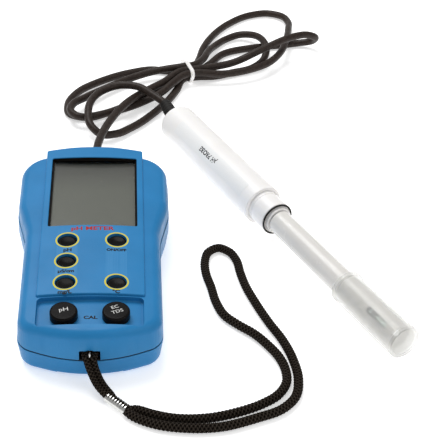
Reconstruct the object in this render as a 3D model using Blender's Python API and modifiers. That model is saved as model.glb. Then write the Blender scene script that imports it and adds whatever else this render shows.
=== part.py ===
"""Handheld pH and conductivity meter, lying on its back, with its probe, lead and wrist strap.

Run it in Blender 4.5.  Sizes below are in millimetres and become metres when an object is made.
Frame: the origin is the centre of the case's back on the table, +X to the right of the keypad,
+Y towards the display end and +Z out of the front face.
"""

import math

import bmesh
import bpy
from mathutils import Matrix, Vector

MM = 0.001
GAP = 0.3

# ---- case -------------------------------------------------------------------------------------
# Half outline at the seam, display end first: x, y and corner radius.
CASE_CORNERS = [(40, 70.5, 16), (40, 28, 24), (35, 6, 24), (35, -66.5, 11), (12, -75.6, 60)]
CASE_HEIGHT = 36.0
ARC_STEP = 15.0
DISPLAY_END = 72.5
CROWN_RADIUS = 260.0
FACE_SLOPE = 0.045
SHOULDER_DRAFT = 0.8
EDGE_ROUND = 4.4
BACK_ROUND = 5.0
WING_DROP = 1.2
PANEL_HALF_WIDTH = 26.5
PANEL_END = -48.0
PANEL_BULGE = 2.2
PANEL_LEDGE = 23.5
WALL = 2.4
PANEL_WALL = 3.4
POCKET_WALL = 6.0
BEND_START = 12.0
BEND_FULL = 30.0
CROWN_STRIP = 10.5

# The seam is a plane that rises towards the display end.
SEAM_AT_KNOB_END = 12.4
SEAM_SLOPE = 0.0765
KNOB_END = -75.0
GASKET_THICKNESS = 0.8
SEAM_GAP = GASKET_THICKNESS / 2 + GAP

# ---- front panel ------------------------------------------------------------------------------
WINDOW_HALF_WIDTH = 22.8
WINDOW_BOTTOM = 5.0
WINDOW_TOP = 64.4
WINDOW_WALL = 2.4
LENS_THICKNESS = 1.2
LENS_HALF_WIDTH = 25.3
BOARD_DEPTH = 9.5
BOARD_THICKNESS = 1.6
KEY_COLUMN = 12.4
KEY_ROWS = (-7.0, -23.0, -39.0)
KEYS = {
    "key_ph": (-KEY_COLUMN, KEY_ROWS[0]),
    "key_conductivity": (-KEY_COLUMN, KEY_ROWS[1]),
    "key_dissolved_solids": (-KEY_COLUMN, KEY_ROWS[2]),
    "key_power": (KEY_COLUMN, KEY_ROWS[0]),
    "key_temperature": (KEY_COLUMN, KEY_ROWS[2]),
}
KEY_RADIUS = 4.5
KEY_RECESS = 1.0
KEY_HOLE_RADIUS = 5.0
KEY_FLANGE_RADIUS = 5.8
KEY_TRAVEL = 0.8
KEY_FLANGE = 0.7
# The flange hangs below the lowest point of the crowned wall round its hole.
KEY_SHOULDER = PANEL_WALL + (KEY_COLUMN + KEY_FLANGE_RADIUS) ** 2 / (2 * CROWN_RADIUS) + GAP
SWITCH_HEIGHT = 2.5

# ---- knob pocket ------------------------------------------------------------------------------
POCKET_HALF_WIDTH = 25.5
POCKET_END = -67.7
POCKET_DEPTH = 3.9
KNOB_X = 12.3
KNOB_Y = -60.0
KNOB_RADIUS = 6.65
KNOB_HEIGHT = 4.3
SHAFT_RADIUS = 2.0
TRIMMER_FLOOR = 0.8
TRIMMER_HEIGHT = 2.1

# ---- battery and back -------------------------------------------------------------------------
BATTERY_SIZE = (26.5, 48.5, 17.5)
BATTERY_CENTRE_Y = 2.2
POLE_OFFSET = 6.35
DOOR_HALF_WIDTH = 15.5
DOOR_TOP = 30.0
DOOR_BOTTOM = -60.0
DOOR_THICKNESS = 2.3
SCREW_HOLE = 1.5
SCREW_PLACES = [(-30.0, 56.0), (30.0, 56.0), (-28.5, -55.0), (28.5, -55.0)]

# ---- probe lead -------------------------------------------------------------------------------
SOCKET_HEIGHT = 15.0
SOCKET_THREAD = 5.8
PLUG_FRONT = 74.6
PLUG_BACK = 89.6
PLUG_TAIL_END = 98.0
CABLE_RADIUS = 2.4
TIE_CENTRE = (58.5, 214.5)
TIE_HEADING = 15.0
# The six strands in the tie: sideways offset across the bundle, and height.
TIE_SLOTS = {
    "lower far": (6.5, 3.75), "lower middle": (1.3, 3.75), "lower near": (-3.9, 3.75),
    "upper far": (3.9, 8.25), "upper middle": (-1.3, 8.25), "upper near": (-6.5, 8.25),
}
# Each leg of the cable ends in the tie slot named beside it, entered rightwards or leftwards.
FROM_METER = [
    (0, 94.5, 15), (0.4, 107, 15.2), (2.5, 120, 14.8), (8.5, 142, 13.4), (18, 165, 11.3),
    (29.5, 184.5, 8.2), (41, 197, 7.6)]
RAISED_RIGHT_LOOP = [
    (88, 222, 9), (109.5, 232, 14.5), (129, 243, 17.5), (140, 249, 16.5), (147.5, 254.5, 11.5),
    (146, 260, 6), (138, 262.5, 3.2), (127, 260.5, 2.6), (106.5, 256, 2.6), (84, 246.5, 2.6),
    (72.6, 230.2, 2.6)]
OUTER_LEFT_LOOP = [
    (42, 201.5, 2.6), (30, 186, 2.6), (21, 178.5, 2.6), (2, 165, 2.6), (-10, 161.5, 2.6),
    (-18, 165.5, 2.6), (-19.5, 176, 2.6), (-13.5, 192.5, 2.6), (1, 207, 2.6), (21, 219, 2.6),
    (34, 223, 2.6), (45, 221.5, 2.6)]
WIDE_RIGHT_LOOP = [
    (66.5, 238, 2.6), (70, 253, 2.6), (77, 271, 2.6), (90, 291, 2.6), (107, 305.5, 2.6),
    (119.5, 308.5, 2.8), (129.5, 303, 3.4), (133, 291, 4.6), (131.5, 277, 6.5), (127.5, 256, 8.5),
    (121, 236.5, 8.5), (112, 223.5, 8.2), (98, 214.5, 7.8), (82, 210, 7.2)]
INNER_LEFT_LOOP = [
    (47.5, 196.5, 7.6), (40, 187, 6.2), (25, 174.5, 4.8), (5, 161, 5.8), (-5.5, 155, 6.4),
    (-12.5, 154.5, 7.4), (-17, 159.5, 8), (-16, 168, 7.9), (-9.5, 177.5, 6.8), (5, 194.5, 4.8),
    (20, 207, 4.8), (34.5, 214.5, 5.8)]
INNER_RIGHT_LOOP = [
    (68, 229, 7), (73, 244, 5.4), (79, 257, 3.4), (87, 267.5, 2.8), (96.5, 272, 4),
    (106, 267.5, 6.2), (111.5, 257, 7.7), (113, 245, 6.6), (109.5, 234.5, 4), (101.5, 226.5, 2.6),
    (88, 220, 2.6), (76, 215, 2.6)]
TO_PROBE = [
    (50, 196, 2.6), (46.5, 187.5, 2.6), (35.5, 168, 2.6), (20.5, 148.5, 3), (11, 139.8, 3.8),
    (2, 137.2, 5.2), (-4.2, 142, 8.4), (-6, 152.5, 11.4), (-4, 165, 13), (3, 176, 13.5),
    (13.5, 181.5, 14.1), (24.5, 179.5, 14.4), (33.5, 172, 13.2)]
CABLE_LEGS = [
    (FROM_METER, "upper middle", 1), (RAISED_RIGHT_LOOP, "lower middle", -1),
    (OUTER_LEFT_LOOP, "lower far", 1), (WIDE_RIGHT_LOOP, "upper near", -1),
    (INNER_LEFT_LOOP, "upper far", 1), (INNER_RIGHT_LOOP, "lower near", -1)]

# ---- probe ------------------------------------------------------------------------------------
# Stations are distances along the probe's axis from the cable end of the handle.
PROBE_START = Vector((47.6, 142.8, 11.5))
PROBE_TIP = Vector((152.3, -64.3, 11.5))
BOOT_LENGTH = 21.0
BOOT_TURN = 10.5
HANDLE_END = 101.0
HANDLE_RADIUS = 11.4
HANDLE_BORE = 9.7
LABEL_SPAN = (17.0, 92.6)
LABEL_ANGLES = (24, 68)
COLLAR_END = 115.0
COLLAR_RADIUS = 9.4
STEM_RADIUS = 5.3
SLEEVE_START = 118.0
SLEEVE_END = 226.0
SLEEVE_RADIUS = 6.7
SLEEVE_BORE = 5.9
SLOT_START = 205.0
SLOT_END = 221.0
SLOT_WIDTH = 3.4
SLOT_ANGLE = 45
CAP_START = 181.0
CAP_END = 231.0

# ---- strap ------------------------------------------------------------------------------------
STRAP_PIN = (0.0, -73.4)
PIN_RADIUS = 0.8
STRAP_HEIGHT = 15.6
STRAP_RADIUS = 2.3
ANCHOR_RADIUS = 1.65
ANCHOR_MIDDLE = [Vector((1.4, -80.6, 12.2)), Vector((4.2, -84.2, 6.9))]
CRIMP_START = Vector((8.6, -90.2, 3.4))
CRIMP_END = Vector((17.6, -98.8, 2.9))
CRIMP_RADIUS = 2.7
STRAP_LOOP = [
    (19.5, -101.5), (28, -106.5), (44, -110), (60, -109.5), (77, -104), (89, -98.5), (95.8, -91),
    (98.8, -78), (97.8, -65), (94, -50), (89, -38), (83, -21), (79, -7), (77, 5), (76, 14),
    (72.5, 22), (67, 25.5), (61.5, 22), (59, 14), (59, 3), (61, -8), (63, -21), (66.5, -31),
    (73, -38.5), (80, -45), (86.5, -54), (91, -62.5), (93.3, -72), (93, -80), (88.5, -88.5),
    (80, -95), (69, -100), (53, -104), (38, -103.6), (29, -101), (21.5, -98)]


# ---- scene and materials ----------------------------------------------------------------------
def clear_scene():
    for item in list(bpy.data.objects):
        bpy.data.objects.remove(item, do_unlink=True)


def make_collection(name):
    group = bpy.data.collections.new(name)
    bpy.context.scene.collection.children.link(group)
    return group


def make_material(name, colour, roughness=0.5, metallic=0.0):
    made = bpy.data.materials.new(name)
    made.use_nodes = True
    shader = made.node_tree.nodes["Principled BSDF"]
    shader.inputs["Base Color"].default_value = (*colour, 1.0)
    shader.inputs["Roughness"].default_value = roughness
    shader.inputs["Metallic"].default_value = metallic
    made.diffuse_color = (*colour, 1.0)
    return made


clear_scene()
PARTS = make_collection("ph_meter")
CUTTERS = make_collection("ph_meter_cutters")
BLUE = make_material("blue_plastic", (0.045, 0.215, 0.50), 0.42)
BLACK_RUBBER = make_material("black_rubber", (0.012, 0.011, 0.011), 0.6)
BLACK_PLASTIC = make_material("black_plastic", (0.015, 0.014, 0.014), 0.38)
CLEAR = make_material("clear_plastic", (0.6, 0.62, 0.6), 0.08)
DISPLAY = make_material("display_glass", (0.11, 0.12, 0.10), 0.3)
GREEN_BOARD = make_material("circuit_board", (0.02, 0.13, 0.05), 0.45)
STEEL = make_material("steel", (0.62, 0.62, 0.60), 0.3, 1.0)
BRASS = make_material("brass", (0.70, 0.52, 0.22), 0.35, 1.0)
WHITE = make_material("white_plastic", (0.82, 0.82, 0.80), 0.4)
MILKY = make_material("milky_plastic", (0.70, 0.70, 0.66), 0.3)
CABLE_JACKET = make_material("cable_jacket", (0.035, 0.026, 0.023), 0.5)
CORD = make_material("braided_cord", (0.014, 0.012, 0.012), 0.8)
RED = make_material("red_plastic", (0.45, 0.02, 0.02), 0.5)
BATTERY_WRAP = make_material("battery_wrap", (0.10, 0.10, 0.11), 0.35)
PROBE_GLASS = make_material("probe_glass", (0.65, 0.75, 0.72), 0.05)


# ---- modelling helpers ------------------------------------------------------------------------
def add_object(name, mesh, finish=None):
    """Link a mesh as a part, or as a cutter when it has no material."""
    made = bpy.data.objects.new(name, mesh)
    if finish is None:
        CUTTERS.objects.link(made)
        made.hide_render = True
        made.display_type = "WIRE"
    else:
        PARTS.objects.link(made)
        made.data.materials.append(finish)
    return made


def mesh_from(name, build):
    """A mesh made by build(bm) in millimetres, stored in metres."""
    bm = bmesh.new()
    build(bm)
    bmesh.ops.scale(bm, vec=(MM, MM, MM), verts=bm.verts)
    bmesh.ops.recalc_face_normals(bm, faces=bm.faces)
    mesh = bpy.data.meshes.new(name)
    bm.to_mesh(mesh)
    bm.free()
    return mesh


def loft(bm, rings, closed=False):
    """Join equal rings of points with quads.  A closed loft wraps round, an open one gets end caps."""
    rows = [[bm.verts.new(point) for point in ring] for ring in rings]
    pairs = list(zip(rows, rows[1:]))
    if closed:
        pairs.append((rows[-1], rows[0]))
    else:
        bm.faces.new(rows[0])
        bm.faces.new(rows[-1])
    for lower, upper in pairs:
        for i in range(len(lower)):
            j = (i + 1) % len(lower)
            bm.faces.new((lower[i], lower[j], upper[j], upper[i]))


def box(name, low, high, finish=None, tilt=False):
    """A box between two corners.  With tilt, z counts from the sloping face, so it is negative inside."""
    size = [h - l for l, h in zip(low, high)]
    centre = [(h + l) / 2 for l, h in zip(low, high)]

    def build(bm):
        bmesh.ops.create_cube(bm, size=1.0)
        bmesh.ops.scale(bm, vec=size, verts=bm.verts)
        if tilt:
            bmesh.ops.rotate(bm, matrix=FACE_TURN, verts=bm.verts)
            bmesh.ops.translate(bm, vec=on_face(centre[0], centre[1], -centre[2]), verts=bm.verts)
        else:
            bmesh.ops.translate(bm, vec=centre, verts=bm.verts)

    return add_object(name, mesh_from(name, build), finish)


def rod(name, radius, start, end, finish=None, sides=16, end_radius=None):
    """A cylinder or cone from start to end."""
    start, end = Vector(start), Vector(end)
    axis = end - start

    def build(bm):
        bmesh.ops.create_cone(
            bm, cap_ends=True, segments=sides, radius1=radius,
            radius2=radius if end_radius is None else end_radius, depth=axis.length)
        bmesh.ops.rotate(bm, matrix=axis.to_track_quat("Z", "Y").to_matrix(), verts=bm.verts)
        bmesh.ops.translate(bm, vec=(start + end) / 2, verts=bm.verts)

    made = add_object(name, mesh_from(name, build), finish)
    smooth(made)
    return made


def smooth(item, angle=35.0):
    item.data.shade_smooth()
    item.data.set_sharp_from_angle(angle=math.radians(angle))


def turned(name, profile, frame, finish=None, steps=28):
    """Turn a profile of (radius, height) points about local Z, then place it by a matrix.

    The profile runs down its outer side.  It closes on itself unless it starts on the axis.
    """
    mesh = bpy.data.meshes.new(name)
    verts = [(r * MM, 0.0, h * MM) for r, h in profile]
    edges = [(i, i + 1) for i in range(len(profile) - 1)]
    if profile[0][0] > 0:
        edges.append((len(profile) - 1, 0))
    mesh.from_pydata(verts, edges, [])
    made = add_object(name, mesh, finish)
    screw = made.modifiers.new("turn", "SCREW")
    screw.steps = steps
    screw.render_steps = steps
    screw.use_merge_vertices = True
    screw.merge_threshold = 0.000001
    screw.use_smooth_shade = True
    made.matrix_world = frame
    return made


def boolean(item, tool, operation):
    step = item.modifiers.new(tool.name, "BOOLEAN")
    step.operation = operation
    step.solver = "EXACT"
    step.object = tool


def cut(item, *tools):
    for tool in tools:
        boolean(item, tool, "DIFFERENCE")


def join(item, *tools):
    for tool in tools:
        boolean(item, tool, "UNION")


def tube(name, points, radius, finish):
    """A round wire through points, as a mesh."""
    curve = bpy.data.curves.new(name, "CURVE")
    curve.dimensions = "3D"
    curve.bevel_depth = radius * MM
    curve.bevel_resolution = 2
    curve.use_fill_caps = True
    spline = curve.splines.new("POLY")
    spline.points.add(len(points) - 1)
    for slot, point in zip(spline.points, points):
        slot.co = (*(Vector(point) * MM), 1.0)
    return curve_to_mesh(name, curve, finish)


def curve_to_mesh(name, curve, finish):
    guide = bpy.data.objects.new(name + "_curve", curve)
    PARTS.objects.link(guide)
    evaluated = guide.evaluated_get(bpy.context.evaluated_depsgraph_get())
    mesh = bpy.data.meshes.new_from_object(evaluated)
    bm = bmesh.new()
    bm.from_mesh(mesh)
    bmesh.ops.remove_doubles(bm, verts=bm.verts, dist=0.000001)
    bmesh.ops.recalc_face_normals(bm, faces=bm.faces)
    bm.to_mesh(mesh)
    bm.free()
    mesh.materials.clear()
    made = add_object(name, mesh, finish)
    made.matrix_world = guide.matrix_world
    bpy.data.objects.remove(guide)
    smooth(made, 50)
    return made


def smooth_path(points, parts_per_leg):
    """A curve that passes through the points, with tangents weighted by the nearer neighbour."""
    points = [Vector(p) for p in points]
    lengths = [(b - a).length for a, b in zip(points, points[1:])]
    tangents = [(points[1] - points[0]) / lengths[0]]
    for i in range(1, len(points) - 1):
        before, after = lengths[i - 1], lengths[i]
        arriving = (points[i] - points[i - 1]) / before
        leaving = (points[i + 1] - points[i]) / after
        tangents.append((arriving * after + leaving * before) / (before + after))
    tangents.append((points[-1] - points[-2]) / lengths[-1])
    path = []
    for i, length in enumerate(lengths):
        for step in range(parts_per_leg):
            t = step / parts_per_leg
            path.append(
                (2 * t**3 - 3 * t**2 + 1) * points[i] + (t**3 - 2 * t**2 + t) * length * tangents[i]
                + (3 * t**2 - 2 * t**3) * points[i + 1] + (t**3 - t**2) * length * tangents[i + 1])
    path.append(points[-1])
    return path


# ---- case geometry ----------------------------------------------------------------------------
def face_height(x, y):
    """Height of the crowned, sloping face of the panel."""
    return CASE_HEIGHT - x * x / (2 * CROWN_RADIUS) - FACE_SLOPE * (DISPLAY_END - y)


FACE_TURN = Matrix.Rotation(math.atan(FACE_SLOPE), 3, "X")
FACE_NORMAL = FACE_TURN @ Vector((0, 0, 1))


def on_face(x, y, depth):
    """The point a given depth below the uncrowned face line, along the face's normal."""
    return Vector((x, y, face_height(0, y))) - FACE_NORMAL * depth


def seam_height(y):
    return SEAM_AT_KNOB_END + SEAM_SLOPE * (y - KNOB_END)


def rounded_outline(half_corners):
    """A closed outline, mirrored in x, whose corners are filleted arcs."""
    corners = half_corners + [(-x, y, r) for x, y, r in reversed(half_corners)]
    outline = []
    for i, (x, y, radius) in enumerate(corners):
        corner = Vector((x, y))
        before = (Vector(corners[i - 1][:2]) - corner).normalized()
        after = (Vector(corners[(i + 1) % len(corners)][:2]) - corner).normalized()
        half_angle = before.angle(after) / 2
        centre = corner + (before + after).normalized() * radius / math.sin(half_angle)
        reach = radius / math.tan(half_angle)
        start = corner + before * reach - centre
        turn = math.pi - 2 * half_angle
        sign = 1 if before.cross(after) < 0 else -1
        steps = max(2, round(math.degrees(turn) / ARC_STEP))
        for k in range(steps + 1):
            angle = sign * turn * k / steps
            spun = Matrix.Rotation(angle, 2) @ start
            outline.append(centre + spun)
    return outline


def inset_outline(outline, inset):
    """Move an outline inwards along its averaged normals."""
    area = sum(a.cross(b) for a, b in zip(outline, outline[1:] + outline[:1]))
    side = 1 if area > 0 else -1
    moved = []
    for i, point in enumerate(outline):
        before = (point - outline[i - 1]).normalized()
        after = (outline[(i + 1) % len(outline)] - point).normalized()
        normal = (Vector((-before.y, before.x)) + Vector((-after.y, after.x))).normalized() * side
        stretch = 1 / max(0.5, normal.dot(Vector((-after.y, after.x)) * side))
        moved.append(point + normal * inset * stretch)
    return moved


def outline_rings(outline, levels):
    """The outline as a ring of points at each (height, inset) level."""
    return [[(p.x, p.y, height) for p in inset_outline(outline, inset)] for height, inset in levels]


def prism(name, outline, levels, finish=None):
    """Loft an outline straight up through (height, inset) levels."""
    return add_object(name, mesh_from(name, lambda bm: loft(bm, outline_rings(outline, levels))), finish)


def crowned_form(name, outline, levels, finish=None):
    """Loft an outline through (height, inset) levels and bend it to the crowned, sloping face.

    Heights are those at the display end; from BEND_START to BEND_FULL the bend fades in.
    """
    def build(bm):
        loft(bm, outline_rings(outline, levels))
        strips = int(max(abs(p.x) for p in outline) / CROWN_STRIP)
        for k in range(-strips, strips + 1):
            geometry = bm.verts[:] + bm.edges[:] + bm.faces[:]
            bmesh.ops.bisect_plane(
                bm, geom=geometry, dist=0.001, plane_co=(k * CROWN_STRIP, 0, 0), plane_no=(1, 0, 0))
        bmesh.ops.triangulate(bm, faces=bm.faces[:])
        for vert in bm.verts:
            fade = (vert.co.z - BEND_START) / (BEND_FULL - BEND_START)
            drop = CASE_HEIGHT - face_height(vert.co.x, vert.co.y)
            vert.co.z -= drop * min(1.0, max(0.0, fade))

    return add_object(name, mesh_from(name, build), finish)


def edge_levels(bottom, top, draft, radius, steps=3):
    """Levels of a drafted wall that ends in a quarter-round of a given radius."""
    levels = [(bottom, 0.0)]
    for k in range(steps + 1):
        angle = math.pi / 2 * k / steps
        levels.append((top - radius + radius * math.sin(angle), draft + radius - radius * math.cos(angle)))
    return levels


def seam_block(name, low_side, offset):
    """A block that fills everything below (or above) the seam plane moved by an offset."""
    reach, deep = 130.0, 60.0
    turn = Matrix.Rotation(math.atan(SEAM_SLOPE), 3, "X")

    def build(bm):
        bmesh.ops.create_cube(bm, size=1.0)
        bmesh.ops.scale(bm, vec=(reach, 2 * reach, deep), verts=bm.verts)
        bmesh.ops.translate(bm, vec=(0, 0, (-1 if low_side else 1) * deep / 2), verts=bm.verts)
        bmesh.ops.rotate(bm, matrix=turn, verts=bm.verts)
        bmesh.ops.translate(bm, vec=(0, 0, seam_height(0) + offset), verts=bm.verts)

    return add_object(name, mesh_from(name, build))


def rectangle(half_width, low, high, radius):
    """Half corners of a rectangle with rounded corners."""
    return rounded_outline([(half_width, high, radius), (half_width, low, radius)])


CASE_OUTLINE = rounded_outline(CASE_CORNERS)


# ---- case parts -------------------------------------------------------------------------------
def make_front_shell():
    wing_levels = edge_levels(6.0, CASE_HEIGHT - WING_DROP, SHOULDER_DRAFT, EDGE_ROUND)
    shell = crowned_form("front_shell", CASE_OUTLINE, wing_levels, BLUE)
    panel_levels = edge_levels(PANEL_LEDGE, CASE_HEIGHT, 0.4, 0.6, 2)
    join(shell, crowned_form("panel_form", panel_outline(), panel_levels))
    hollow_front(shell)
    for i, (x, y) in enumerate(SCREW_PLACES):
        roof = face_height(x, y) - POCKET_WALL
        join(shell, rod(f"front_boss_{i}", 3.4, (x, y, 9.0), (x, y, roof + 1.4)))
        cut(shell, rod(f"front_screw_hole_{i}", SCREW_HOLE, (x, y, 5.0), (x, y, seam_height(y) + 5.6)))
    cut(shell, seam_block("below_seam", True, SEAM_GAP))
    open_window(shell)
    open_key_holes(shell)
    open_knob_pocket(shell)
    open_strap_slot(shell)


def panel_outline():
    """The raised panel: square at the knob end, bulging a little at the display end."""
    return rounded_outline([
        (10.0, DISPLAY_END + PANEL_BULGE, 90.0), (PANEL_HALF_WIDTH, DISPLAY_END, 1.5),
        (PANEL_HALF_WIDTH, PANEL_END, 1.5)])


def hollow_front(shell):
    """A shallow cavity under the panel, and one under the rest that leaves a floor for the knob pocket."""
    upper = rectangle(32.0, PANEL_END + 2.5, 66.0, 4.0)
    cut(
        shell,
        crowned_form("upper_cavity", upper, [(8.0, 0.0), (CASE_HEIGHT - PANEL_WALL, 0.0)]),
        crowned_form("lower_cavity", CASE_OUTLINE, [
            (4.0, WALL), (CASE_HEIGHT - POCKET_WALL, WALL + SHOULDER_DRAFT)]))


def open_window(shell):
    """The window, and under it the seat for the lens and the display."""
    cut(shell, box(
        "window_hole", (-WINDOW_HALF_WIDTH, WINDOW_BOTTOM, 26), (WINDOW_HALF_WIDTH, WINDOW_TOP, 45)))
    half = LENS_HALF_WIDTH + 0.5
    low, high = WINDOW_BOTTOM - 3.1, WINDOW_TOP + 2.8
    cut(shell, box("lens_seat", (-half, low, -11.0), (half, high, -WINDOW_WALL), tilt=True))


def open_key_holes(shell):
    for name, (x, y) in KEYS.items():
        top = on_face(x, y, 0)
        inside, outside = top - FACE_NORMAL * 8, top + FACE_NORMAL * 5
        cut(shell, rod(f"{name}_hole", KEY_HOLE_RADIUS, inside, outside, sides=24))


def open_knob_pocket(shell):
    pocket = rectangle(POCKET_HALF_WIDTH, POCKET_END, PANEL_END - 0.3, 2.5)
    cut(shell, crowned_form(
        "knob_pocket", pocket, [(CASE_HEIGHT - POCKET_DEPTH, 0.6), (CASE_HEIGHT + 8, -0.6)]))
    for side in (-1, 1):
        top = on_face(side * KNOB_X, KNOB_Y, 0)
        inside, outside = top - FACE_NORMAL * 9, top + FACE_NORMAL * 2
        cut(shell, rod(f"shaft_hole_{side}", SHAFT_RADIUS + GAP, inside, outside))


def open_strap_slot(shell):
    """The slot in the knob end, with a boss in its roof that holds the strap pin's head."""
    x, y = STRAP_PIN
    roof = STRAP_HEIGHT + 2.4
    cut(shell, box("strap_slot", (-5, -80, 8), (5, y + 5.0, roof)))
    join(shell, rod("pin_seat", 2.6, (x, y + 0.8, roof), (x, y + 0.8, roof + 4.6)))
    cut(shell, rod("pin_hole", PIN_RADIUS + GAP, (x, y, STRAP_HEIGHT), (x, y, roof + 3.0)))


def make_rear_shell():
    back_inset, side_inset = 1.2, 0.2
    levels = []
    steps = 3
    for k in range(steps + 1):
        angle = math.pi / 2 * k / steps
        height = BACK_ROUND * (1 - math.cos(angle))
        levels.append((height, back_inset + BACK_ROUND * (1 - math.sin(angle))))
    levels += [(11.9, side_inset), (29.0, side_inset)]
    shell = prism("rear_shell", CASE_OUTLINE, levels, BLUE)
    floor = DOOR_THICKNESS + GAP + 2.0
    cavity = [(floor, WALL + 1.8), (floor + 3, WALL + 0.4), (35.0, WALL + 0.4)]
    cut(shell, prism("rear_cavity", CASE_OUTLINE, cavity))
    for i, (x, y) in enumerate(SCREW_PLACES):
        join(shell, rod(f"rear_boss_{i}", 4.0, (x, y, 3.0), (x, y, 28.0)))
        cut(shell, rod(f"rear_screw_hole_{i}", SCREW_HOLE, (x, y, -3.0), (x, y, 40.0)))
        cut(shell, rod(f"screw_head_hole_{i}", 3.2, (x, y, -1.0), (x, y, 3.6)))
    cut(shell, seam_block("above_seam", False, -SEAM_GAP))
    open_battery_bay(shell)
    inside, outside = (0, 60, SOCKET_HEIGHT), (0, 80, SOCKET_HEIGHT)
    cut(shell, rod("socket_hole", SOCKET_THREAD + GAP, inside, outside, sides=24))


def open_battery_bay(shell):
    """A channel for the sliding door, open at the knob end, and a hole over the battery."""
    half = DOOR_HALF_WIDTH + GAP
    roof = DOOR_THICKNESS + GAP
    cut(shell, box("door_channel", (-half, -90, -5), (half, DOOR_TOP + GAP, roof)))
    width, length, _ = BATTERY_SIZE
    clearance, snap_room = 0.8, 2.5
    low = (-width / 2 - clearance, BATTERY_CENTRE_Y - length / 2 - clearance, 1)
    high = (width / 2 + clearance, BATTERY_CENTRE_Y + length / 2 + snap_room, 12)
    cut(shell, box("battery_hole", low, high))


def make_gasket():
    high = 40.0
    gasket = prism("case_gasket", CASE_OUTLINE, [(0.0, 0.6), (high, 0.6)], BLACK_RUBBER)
    cut(gasket, prism("gasket_inside", CASE_OUTLINE, [(0.0, 2.2), (high, 2.2)]))
    cut(gasket, seam_block("under_gasket", True, -GASKET_THICKNESS / 2))
    cut(gasket, seam_block("over_gasket", False, GASKET_THICKNESS / 2))


def make_screws():
    for i, (x, y) in enumerate(SCREW_PLACES):
        tip = seam_height(y) + 5.0
        profile = [(0, tip), (0.7, tip), (1.2, tip - 1.2), (1.2, 3.0), (2.7, 2.6), (2.7, 1.2), (0, 1.2)]
        frame = Matrix.Translation((x * MM, y * MM, 0))
        screw = turned(f"case_screw_{i + 1}", profile, frame, STEEL, steps=12)
        cut(screw, box(f"screw_slot_{i}", (x - 0.4, y - 3, 0.6), (x + 0.4, y + 3, 2.0)))


def make_battery():
    width, length, height = BATTERY_SIZE
    low = DOOR_THICKNESS + 0.4
    middle = low + height / 2
    start, end = BATTERY_CENTRE_Y - length / 2, BATTERY_CENTRE_Y + length / 2
    pole_radius, pole_height = 3.0, 2.5
    battery = box(
        "battery_9v", (-width / 2, start, low), (width / 2, end - pole_height, low + height), BATTERY_WRAP)
    bevel = battery.modifiers.new("edges", "BEVEL")
    bevel.width = 1.4 * MM
    bevel.segments = 2
    bevel.limit_method = "ANGLE"
    snap = box("battery_snap", (-12.5, end - 2.1, middle - 6), (12.5, end + 2.2, middle + 6), BLACK_RUBBER)
    for side in (-1, 1):
        x = side * POLE_OFFSET
        join(battery, rod(f"battery_pole_{side}", pole_radius, (x, end - 3.5, middle), (x, end, middle)))
        cut(snap, rod(f"snap_hole_{side}", pole_radius + GAP, (x, end - 5, middle), (x, end + GAP, middle)))
    lead_end = on_face(0, 52, BOARD_DEPTH + BOARD_THICKNESS + 1.5)
    for name, x, finish in (("battery_lead_red", 8, RED), ("battery_lead_black", -8, BLACK_RUBBER)):
        way = [
            (x, end + 2.2 + GAP, middle), (x, end + 7, middle + 0.5), (x * 1.2, 45, lead_end.z - 5),
            (x * 1.2, lead_end.y, lead_end.z)]
        tube(name, smooth_path(way, 4), 0.7, finish)


def make_battery_door():
    """A plate flush with the back, with finger grooves near the end it slides towards."""
    half = DOOR_HALF_WIDTH
    door = box("battery_door", (-half, DOOR_BOTTOM, 0), (half, DOOR_TOP, DOOR_THICKNESS), BLUE)
    groove_count, groove_step, groove_width, groove_depth = 5, 2.4, 1.0, 0.6
    for k in range(groove_count):
        y = DOOR_BOTTOM + 6 + groove_step * k
        cut(door, box(f"grip_groove_{k}", (-9, y, -1), (9, y + groove_width, groove_depth)))


# ---- display and board ------------------------------------------------------------------------
def make_display():
    lens_top = -(WINDOW_WALL + GAP)
    glass_top = lens_top - LENS_THICKNESS - GAP
    glass_bottom = glass_top - 2.2
    frame_bottom = -BOARD_DEPTH + GAP
    half = LENS_HALF_WIDTH
    box("window_lens", (-half, WINDOW_BOTTOM - 2.4, lens_top - LENS_THICKNESS),
        (half, WINDOW_TOP + 2.1, lens_top), CLEAR, True)
    box("lcd_glass", (-24.0, WINDOW_BOTTOM - 1.2, glass_bottom), (24.0, WINDOW_TOP + 1.0, glass_top),
        DISPLAY, True)
    frame = box("lcd_frame", (-half - 0.3, WINDOW_BOTTOM - 2.8, frame_bottom),
                (half + 0.3, WINDOW_TOP + 2.5, glass_top), BLACK_PLASTIC, True)
    low, high = (-24.3, WINDOW_BOTTOM - 1.5, -15), (24.3, WINDOW_TOP + 1.3, 0)
    cut(frame, box("lcd_opening", low, high, tilt=True))
    box("elastomer_strip", (-22, 59.5, frame_bottom), (22, 62.0, glass_bottom - GAP), BLACK_RUBBER, True)


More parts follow.
